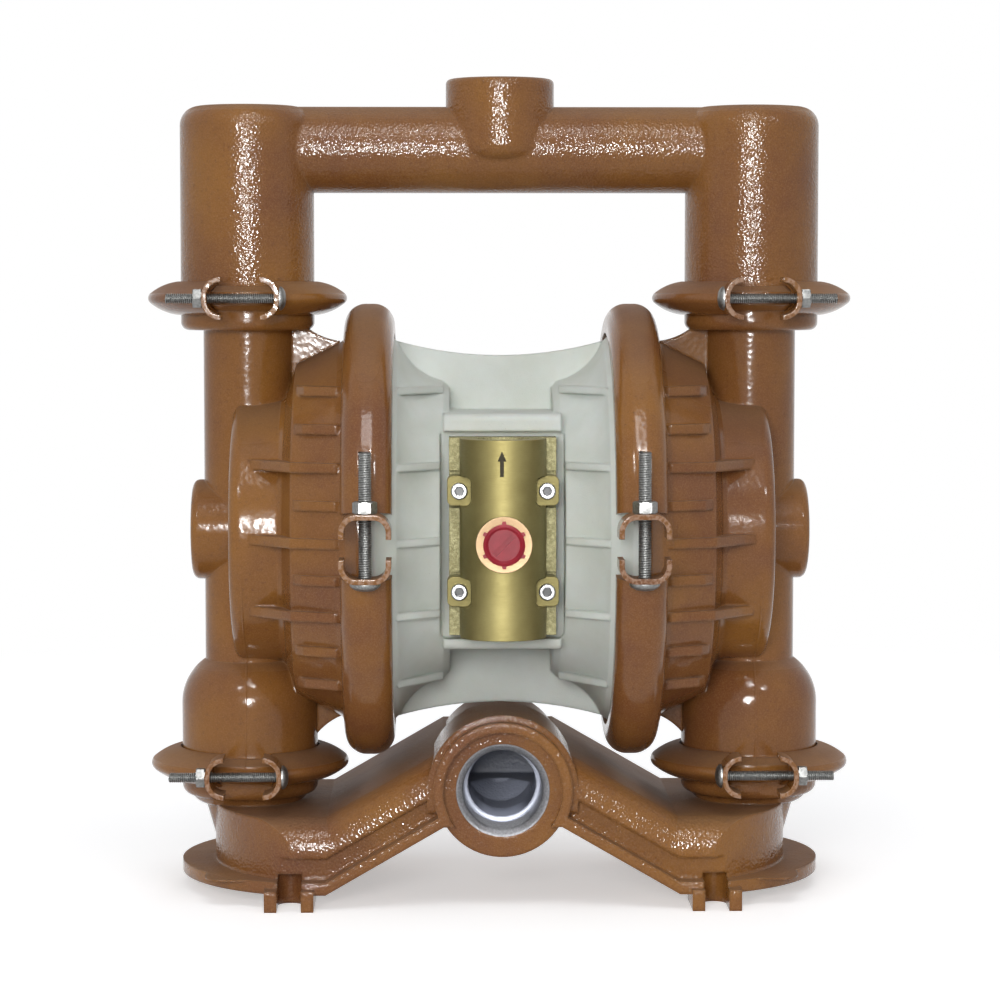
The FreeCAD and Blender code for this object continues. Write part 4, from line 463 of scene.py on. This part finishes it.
def brass_shader():
    """Turned brass barrel, rough cast rails, painted shade on the flat faces of the lugs and a bright
    machined port face.
    """
    shader = Shader("brass")
    x, y, z = shader.axes()
    grain = shader.noise(240.0, 3.0, 0.6, shader.stretched(1.0, 1.0, 6.0))
    colour = shader.mix(shader.patches(0.30, 0.72, 26.0, 4.0, 0.6), BRASS_DARK, BRASS)
    rail_start = VALVE_AXIS + RAIL_FRONT
    cast = shader.ramp(y, rail_start, rail_start + 1.0 * MM)
    pits = shader.patches(0.40, 0.62, 520.0, 4.0, 0.75)
    colour = shader.mix(cast, colour, shader.mix(pits, BRASS_PIT, BRASS_CAST))
    # Painted shade: the flat faces of the lugs are coloured darker, standing in for the dark surroundings
    # they mirror
    outside = shader.ramp(shader.math("ABSOLUTE", x), LUG_INNER, LUG_INNER + 1.0 * MM)
    lug_shade = shader.scaled(shader.near(y, LUG_FACE, 0.3 * MM, 0.2 * MM), outside)
    colour = shader.mix(lug_shade, colour, BRASS_LUG_SHADE)
    face = shader.ramp(y, VALVE_FRONT + 0.4 * MM, VALVE_FRONT + 0.2 * MM)
    colour = shader.mix(face, colour, MACHINED_BRASS)
    rings = shader.radius(x, z, 0.0, AXIS_HEIGHT)
    turned = shader.math("FRACT", shader.scaled(rings, 1.0 / TURNING_PITCH))
    rough = shader.math("ADD", shader.scaled(grain, 0.22), 0.42)
    rough = shader.math("ADD", rough, shader.scaled(cast, 0.12))
    height = shader.math("ADD", shader.scaled(grain, 0.35), shader.scaled(pits, cast))
    height = shader.math("ADD", height, shader.scaled(shader.scaled(turned, face), 0.3))
    normal = shader.bump(height, 0.16 * MM, 1.0, shader.soft_edges(0.8 * MM))
    return shader.wear(Base_Color=colour, Roughness=rough, Normal=normal, Metallic=0.85,
                       Specular_IOR_Level=0.4)


def metal_shader(name, colour, dark, roughness, grain_scale):
    """Plated or turned metal with fine grain and a few dull spots."""
    shader = Shader(name)
    grain = shader.noise(grain_scale, 3.0, 0.6)
    spots = shader.patches(0.55, 0.75, 300.0, 3.0, 0.7)
    tone = shader.mix(shader.ramp(grain, 0.3, 0.7), dark, colour)
    tone = shader.mix(shader.scaled(spots, 0.4), tone, dark)
    rough = shader.math("ADD", shader.scaled(grain, 0.16), roughness)
    return shader.wear(Base_Color=tone, Roughness=rough, Normal=shader.bump(grain, 0.05 * MM),
                       Metallic=0.95)


def socket_shader():
    """Bright screw heads with painted shade in the socket and a darker ring round it."""
    shader = Shader("socket_steel")
    x, y, z = shader.axes()
    up = shader.math("ABSOLUTE", shader.math("SUBTRACT", z, AXIS_HEIGHT))
    distance = shader.radius(shader.math("ABSOLUTE", x), up, LUG_SPREAD, LUG_RISE)
    grain = shader.noise(900.0, 3.0, 0.6)
    tone = shader.mix(shader.ramp(grain, 0.3, 0.7), STEEL_DARK, STEEL)
    ring = shader.near(distance, SCREW_SOCKET + 0.5 * MM, 0.35 * MM, 0.3 * MM)
    tone = shader.mix(shader.scaled(ring, 0.6), tone, STEEL_DARK)
    # Painted shade: inside the socket the colour goes near black and not metallic, standing in for the
    # shade in the hole
    socket = shader.ramp(distance, SCREW_SOCKET + 0.1 * MM, SCREW_SOCKET - 0.2 * MM)
    tone = shader.mix(socket, tone, SOCKET_SHADE)
    rough = shader.math("ADD", shader.scaled(grain, 0.2), 0.22)
    metal = shader.scaled(shader.math("SUBTRACT", 1.0, socket), 0.92)
    normal = shader.bump(grain, 0.05 * MM, 1.0, shader.soft_edges(0.8 * MM))
    return shader.wear(Base_Color=tone, Roughness=rough, Metallic=metal, Normal=normal)


def smooth_shader(name, colour, dark, roughness, scale=60.0):
    """Plain plastic or rubber with faint mottling."""
    shader = Shader(name)
    tone = shader.mix(shader.patches(0.3, 0.7, scale, 4.0, 0.6), dark, colour)
    rough = shader.math("ADD", shader.scaled(shader.noise(scale * 6.0, 2.0), 0.14), roughness)
    normal = shader.bump(shader.noise(scale * 20.0, 2.0), 0.06 * MM)
    return shader.wear(Base_Color=tone, Roughness=rough, Normal=normal, Specular_IOR_Level=0.18)


def finish_of(node):
    """The material that a CAD node wears."""
    for start_of_name, finish in FINISHES.items():
        if node.startswith(start_of_name):
            return MATERIALS[finish]
    return MATERIALS[SLOTS[node]]


def smooth_faces(target):
    """Smooth shading with crisp edges above the crease angle."""
    mesh = target.data
    mesh.shade_smooth()
    mesh.set_sharp_from_angle(angle=math.radians(CREASE_ANGLE))


def new_piece(name, mesh_maker, body, finish):
    """Build a mesh piece in the row frame and let it ride on a CAD body, if it rides on one."""
    mesh = bpy.data.meshes.new(name)
    shape = bmesh.new()
    mesh_maker(shape)
    bmesh.ops.recalc_face_normals(shape, faces=shape.faces)
    shape.to_mesh(mesh)
    shape.free()
    piece = bpy.data.objects.new(name, mesh)
    bpy.context.scene.collection.objects.link(piece)
    smooth_faces(piece)
    mesh.materials.append(MATERIALS[finish])
    if body:
        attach(piece, body)
    return piece


def spun(shape, profile, turns, matrix):
    """Turn a profile of (along, radius) points about the local Z axis; no radius closes it."""
    rings = []
    for along, radius in profile:
        if radius < 1e-7:
            rings.append([shape.verts.new(matrix @ Vector((0.0, 0.0, along)))])
            continue
        ring = []
        for step in range(turns):
            angle = 2.0 * math.pi * step / turns
            ring.append(shape.verts.new(matrix @ Vector((
                radius * math.cos(angle), radius * math.sin(angle), along))))
        rings.append(ring)
    for lower, upper in zip(rings, rings[1:]):
        bridge(shape, lower, upper, turns)


def bridge(shape, lower, upper, turns):
    """Faces between two rings, either of which may be a single point."""
    for step in range(turns):
        following = (step + 1) % turns
        if len(lower) == 1:
            shape.faces.new((lower[0], upper[following], upper[step]))
        elif len(upper) == 1:
            shape.faces.new((lower[step], lower[following], upper[0]))
        else:
            shape.faces.new((lower[step], lower[following], upper[following], upper[step]))


def threaded(shape, start, end, radius, pitch, depth, matrix):
    """A helical thread between two places on the local Z axis, closed at both ends."""
    sides = THREAD_SIDES
    steps = int(round((end - start) / pitch)) * sides
    first_tip = shape.verts.new(matrix @ Vector((0.0, 0.0, start)))
    rows = []
    for index in range(steps + 1):
        angle = 2.0 * math.pi * index / sides
        along = start + (end - start) * index / steps
        fade = min(1.0, min(index, steps - index) / sides)
        low = radius - depth
        high = low + depth * fade
        direction = Vector((math.cos(angle), math.sin(angle), 0.0))
        root = direction * low + Vector((0.0, 0.0, along))
        crest = direction * high + Vector((0.0, 0.0, along + pitch * THREAD_CREST * fade))
        rows.append((shape.verts.new(matrix @ root), shape.verts.new(matrix @ crest)))
    for here, following in zip(rows, rows[1:]):
        shape.faces.new((here[0], following[0], following[1], here[1]))
    for index in range(steps - sides):
        after = index + sides
        shape.faces.new((rows[index][1], rows[index + 1][1], rows[after + 1][0], rows[after][0]))
    last_tip = shape.verts.new(matrix @ Vector((0.0, 0.0, end)))
    for index in range(sides):
        here = steps - sides + index
        shape.faces.new((first_tip, rows[index + 1][0], rows[index][0]))
        shape.faces.new((last_tip, rows[here][1], rows[here + 1][1]))


def hexagon_nut(shape, start, end, flat, bore, matrix):
    """A hexagon nut with chamfered corners and a round hole."""
    corner = flat / math.sqrt(3.0)
    chamfer = (corner - flat / 2.0) * 1.1
    profile = ((start, bore), (start, flat / 2.0), (start + chamfer * 0.6, corner),
               (end - chamfer * 0.6, corner), (end, flat / 2.0), (end, bore), (start, bore))
    rings = []
    for along, reach in profile:
        ring = []
        for step in range(NUT_SIDES):
            angle = 2.0 * math.pi * step / NUT_SIDES
            inward = abs(((math.degrees(angle) + 30.0) % 60.0) - 30.0)
            limit = flat / 2.0 / math.cos(math.radians(30.0 - inward))
            radius = min(reach, limit)
            ring.append(shape.verts.new(matrix @ Vector((
                radius * math.cos(angle), radius * math.sin(angle), along))))
        rings.append(ring)
    for lower, upper in zip(rings, rings[1:]):
        bridge(shape, lower, upper, NUT_SIDES)
    bmesh.ops.remove_doubles(shape, verts=shape.verts, dist=1e-6)


def large_frames():
    """Places of the bolts of the large clamps, with their local Z axis pointing up."""
    for across in (-LARGE_ACROSS, LARGE_ACROSS):
        for depth in (-LARGE_DEPTH, LARGE_DEPTH):
            yield frame_along((across, depth, AXIS_HEIGHT), (0.0, 0.0, 1.0))


def large_bolts(shape):
    """Round-headed bolts through the ears of the large clamps, threaded all along."""
    for matrix in large_frames():
        threaded(shape, -LARGE_GAP, LARGE_END, LARGE_RADIUS, LARGE_PITCH, LARGE_THREAD, matrix)
        spun(shape, dome(LARGE_GAP, LARGE_HEAD_RISE, LARGE_HEAD), HEAD_SIDES, matrix)


def large_nuts(shape):
    """Nuts on the upper ears of the large clamps."""
    for matrix in large_frames():
        hexagon_nut(shape, LARGE_GAP, LARGE_GAP + LARGE_NUT, LARGE_FLAT, LARGE_RADIUS, matrix)


def small_frames():
    """Places of the bolts of the small clamps, with their local Z axis pointing outwards."""
    for side in (-1.0, 1.0):
        for depth in (-SMALL_DEPTH, SMALL_DEPTH):
            for height in JOINT_HEIGHTS:
                yield frame_along((side * COLUMN_OFFSET, depth, height), (side, 0.0, 0.0))


def small_bolts(shape):
    """Bolts across the ears of the small clamps, heads towards the middle."""
    for matrix in small_frames():
        threaded(shape, -SMALL_GAP, SMALL_END, SMALL_RADIUS, SMALL_PITCH, SMALL_THREAD, matrix)
        spun(shape, dome(SMALL_GAP, SMALL_HEAD_RISE, SMALL_HEAD), HEAD_SIDES, matrix)


def small_nuts(shape):
    """Nuts on the outer ears of the small clamps."""
    for matrix in small_frames():
        hexagon_nut(shape, SMALL_GAP, SMALL_GAP + SMALL_NUT, SMALL_FLAT, SMALL_RADIUS, matrix)


def sheet_section():
    """Radius, middle and half thickness of a diaphragm, from the shaft to the clamped rim."""
    half_fold = (FOLD_OUTER - FOLD_INNER) / 2
    bend = (half_fold * half_fold + FOLD_DEPTH * FOLD_DEPTH) / (2 * FOLD_DEPTH)
    section = [(SHEET_HOLE, 0.0, SHEET_HALF), (SHEET_MIDDLE, 0.0, SHEET_HALF)]
    for step in range(FOLD_STEPS + 1):
        across = half_fold * (2.0 * step / FOLD_STEPS - 1.0)
        rise = math.sqrt(bend * bend - across * across) - (bend - FOLD_DEPTH)
        section.append((FOLD_INNER + half_fold + across, rise, SHEET_HALF))
    return section + [(FOLD_OUTER + MM, 0.0, BEAD_HALF), (SHEET_RIM, 0.0, BEAD_HALF)]


def sheet_sector(shape, side, first_angle, last_angle):
    """One sector of a diaphragm, closed all round."""
    columns = []
    for step in range(SECTOR_STEPS + 1):
        angle = first_angle + (last_angle - first_angle) * step / SECTOR_STEPS
        air = []
        liquid = []
        for radius, rise, half in sheet_section():
            depth = radius * math.cos(angle)
            height = AXIS_HEIGHT + radius * math.sin(angle)
            air.append(shape.verts.new((side * (SHEET_OFFSET + rise - half), depth, height)))
            liquid.append(shape.verts.new((side * (SHEET_OFFSET + rise + half), depth, height)))
        columns.append(air + liquid[::-1])
    for here, following in zip(columns, columns[1:]):
        for index in range(len(here)):
            after = (index + 1) % len(here)
            shape.faces.new((here[index], here[after], following[after], following[index]))
    for column in (columns[0], columns[-1]):
        for index in range(len(column) // 2 - 1):
            back = len(column) - 1 - index
            shape.faces.new((column[index], column[index + 1], column[back - 1], column[back]))


def bending_diaphragm(label, side):
    """Diaphragm in sectors, from its middle at the shaft to the clamped rim."""
    for number in range(SHEET_SECTORS):
        first = 2.0 * math.pi * number / SHEET_SECTORS
        last = 2.0 * math.pi * (number + 1) / SHEET_SECTORS
        name = "bending_%s_%d" % (label, number + 1)
        piece = new_piece(name, lambda shape: sheet_sector(shape, side, first, last), None, "black_rubber")
        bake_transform(piece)
        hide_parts(label)


def dome(gap, height, radius):
    """Profile of a rounded bolt head that hangs below a gap."""
    return [(-gap - height * up, radius * out) for up, out in HEAD_PROFILE] + [(-gap, 0.0)]


def arrow(shape):
    """Plain arrow on the valve barrel, as a thin dark skin over it."""
    tip = AXIS_HEIGHT + ARROW_TIP
    radius = BARREL_RADIUS + ARROW_SKIN
    rows = []
    for down, half in ARROW_OUTLINE:
        row = []
        for step in range(ARROW_COLUMNS + 1):
            across = ARROW_SHIFT + half * MM * (2.0 * step / ARROW_COLUMNS - 1.0)
            depth = VALVE_AXIS - math.sqrt(radius * radius - across * across)
            row.append(shape.verts.new((across, depth, tip - down * MM)))
        rows.append(row)
    for upper, lower in zip(rows, rows[1:]):
        for step in range(ARROW_COLUMNS):
            shape.faces.new((upper[step], upper[step + 1], lower[step + 1], lower[step]))


def frame_along(origin, direction):
    """Matrix that puts the local Z axis along a direction at a place."""
    turn = Vector(direction).to_track_quat("Z", "Y").to_matrix().to_4x4()
    return Matrix.Translation(Vector(origin)) @ turn


def make_world():
    """Even light all round, and a white background for the camera and for reflections."""
    world = bpy.data.worlds.new("studio")
    bpy.context.scene.world = world
    world.use_nodes = True
    tree = world.node_tree
    tree.nodes.clear()
    output = tree.nodes.new("ShaderNodeOutputWorld")
    background = tree.nodes.new("ShaderNodeBackground")
    path = tree.nodes.new("ShaderNodeLightPath")
    mix = tree.nodes.new("ShaderNodeMix")
    mix.data_type = "RGBA"
    mix.inputs["A"].default_value = (*SKY, 1.0)
    mix.inputs["B"].default_value = (*WHITE, 1.0)
    seen = path.outputs["Is Camera Ray"]
    for kind in ("Is Glossy Ray", "Is Transmission Ray"):
        either = tree.nodes.new("ShaderNodeMath")
        either.operation = "MAXIMUM"
        tree.links.new(seen, either.inputs[0])
        tree.links.new(path.outputs[kind], either.inputs[1])
        seen = either.outputs["Value"]
    tree.links.new(seen, mix.inputs["Factor"])
    tree.links.new(mix.outputs["Result"], background.inputs["Color"])
    tree.links.new(background.outputs["Background"], output.inputs["Surface"])


def make_floor():
    """Pale floor that keeps the pump's shadow and turns white away from it."""
    mesh = bpy.data.meshes.new("floor")
    shape = bmesh.new()
    bmesh.ops.create_grid(shape, x_segments=8, y_segments=8, size=FLOOR_HALF)
    shape.to_mesh(mesh)
    shape.free()
    floor = bpy.data.objects.new("floor", mesh)
    bpy.context.scene.collection.objects.link(floor)
    shader = Shader("floor")
    x, y, z = shader.axes()
    away = shader.ramp(shader.radius(x, y, 0.0, 0.0), FLOOR_NEAR, FLOOR_FAR)
    path = shader.add("ShaderNodeLightPath")
    seen = shader.math("MAXIMUM", path.outputs["Is Camera Ray"], path.outputs["Is Glossy Ray"])
    seen = shader.math("MAXIMUM", seen, path.outputs["Is Transmission Ray"])
    glow = shader.math("ADD", FLOOR_GLOW, shader.scaled(away, 1.0 - FLOOR_GLOW))
    mesh.materials.append(shader.wear(
        Base_Color=shader.mix(away, FLOOR, BLACK), Roughness=0.9, Specular_IOR_Level=0.0,
        Emission_Color=WHITE, Emission_Strength=shader.scaled(seen, glow)))


def lamp(name, place, wide, tall, power, streak):
    """Soft rectangular lamp that looks at the pump; a streak lamp is only seen in the gloss."""
    light = bpy.data.lights.new(name, "AREA")
    light.shape = "RECTANGLE"
    light.size = wide
    light.size_y = tall
    light.energy = power
    holder = bpy.data.objects.new(name, light)
    holder.location = place
    holder.visible_diffuse = not streak
    holder.visible_glossy = streak
    aim = LAMP_AIM - Vector(place)
    holder.rotation_euler = aim.to_track_quat("-Z", "Y").to_euler()
    bpy.context.scene.collection.objects.link(holder)


def make_camera():
    """Camera at the photograph's viewing angle."""
    data = bpy.data.cameras.new("camera")
    data.lens = CAMERA_LENS
    data.sensor_width = SENSOR_WIDTH
    camera = bpy.data.objects.new("camera", data)
    camera.location = CAMERA_PLACE
    camera.rotation_euler = (math.radians(90.0 - CAMERA_PITCH), 0.0, math.radians(-CAMERA_YAW))
    bpy.context.scene.collection.objects.link(camera)
    bpy.context.scene.camera = camera


MATERIALS = {
    "discharge_paint": paint_shader("discharge_paint", 620.0, 0.24 * MM, 5.0 * MM, bare=discharge_bare),
    "inlet_paint": paint_shader("inlet_paint", 560.0, 0.22 * MM, 3.5 * MM, bare=suction_bare),
    "chamber_paint": paint_shader("chamber_paint", 300.0, 0.07 * MM, 2.6 * MM, ridge=parting_line),
    "large_clamp_paint": paint_shader("large_clamp_paint", 340.0, 0.06 * MM, 1.2 * MM,
                                      rubbed_face=large_ear_face),
    "small_clamp_paint": paint_shader("small_clamp_paint", 340.0, 0.08 * MM, 1.2 * MM,
                                      rubbed_face=small_ear_face),
    "grey_plastic": plastic_shader(),
    "brass": brass_shader(),
    "zinc_steel": metal_shader("zinc_steel", ZINC, ZINC_DARK, 0.32, 700.0),
    "bright_steel": metal_shader("bright_steel", STEEL, STEEL_DARK, 0.18, 900.0),
    "bronze": metal_shader("bronze", BRONZE, BRONZE_DARK, 0.30, 500.0),
    "cast_aluminium": metal_shader("cast_aluminium", ALUMINIUM, ALUMINIUM_DARK, 0.40, 400.0),
    "white_plastic": smooth_shader("white_plastic", WHITE_PLASTIC, WHITE_PLASTIC_DARK, 0.35),
    "black_rubber": smooth_shader("black_rubber", RUBBER, RUBBER_DARK, 0.55),
    "red_plastic": smooth_shader("red_plastic", RED, RED_DARK, 0.30, 120.0),
    "black_plastic": smooth_shader("black_plastic", BLACK_PLASTIC, BLACK_PLASTIC_DARK, 0.45),
    "socket_steel": socket_shader(),
    "engraving": smooth_shader("engraving", ENGRAVED, ENGRAVED_DARK, 0.60),
}
SLOTS = {part["node"]: part["material_slot"] for part in frame["record"]["subparts"]}
# Finish of the nodes whose name starts so; the others take the material of their slot
FINISHES = {
    "discharge_manifold": "discharge_paint",
    "inlet_manifold": "inlet_paint",
    "liquid_chamber": "chamber_paint",
    "air_valve_bolts": "socket_steel",
    "muffler_plate": "chamber_paint",
    "large_clamp_left": "large_clamp_paint",
    "large_clamp_right": "large_clamp_paint",
    "small_clamp_discharge": "small_clamp_paint",
    "small_clamp_inlet": "small_clamp_paint",
}

for label, node in NODES.items():
    node.data.materials.clear()
    node.data.materials.append(finish_of(label))
    smooth_faces(node)

for name, maker, finish, stands_for in (
        ("threaded_large_bolts", large_bolts, "zinc_steel", "large_clamp_bolts"),
        ("bevelled_large_nuts", large_nuts, "zinc_steel", "large_clamp_nuts"),
        ("threaded_small_bolts", small_bolts, "zinc_steel", "small_clamp_bolts"),
        ("bevelled_small_nuts", small_nuts, "zinc_steel", "small_clamp_nuts"),
        ("flow_arrow", arrow, "engraving", None)):
    piece = new_piece(name, maker, "pump", finish)
    if stands_for:
        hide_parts(stands_for)

bending_diaphragm("diaphragm_left", -1.0)
bending_diaphragm("diaphragm_right", 1.0)

bpy.context.scene.view_settings.view_transform = "Standard"
make_world()
make_floor()
for settings in SOFT_LAMPS:
    lamp(*settings, streak=False)
for settings in STREAK_LAMPS:
    lamp(*settings, streak=True)
make_camera()
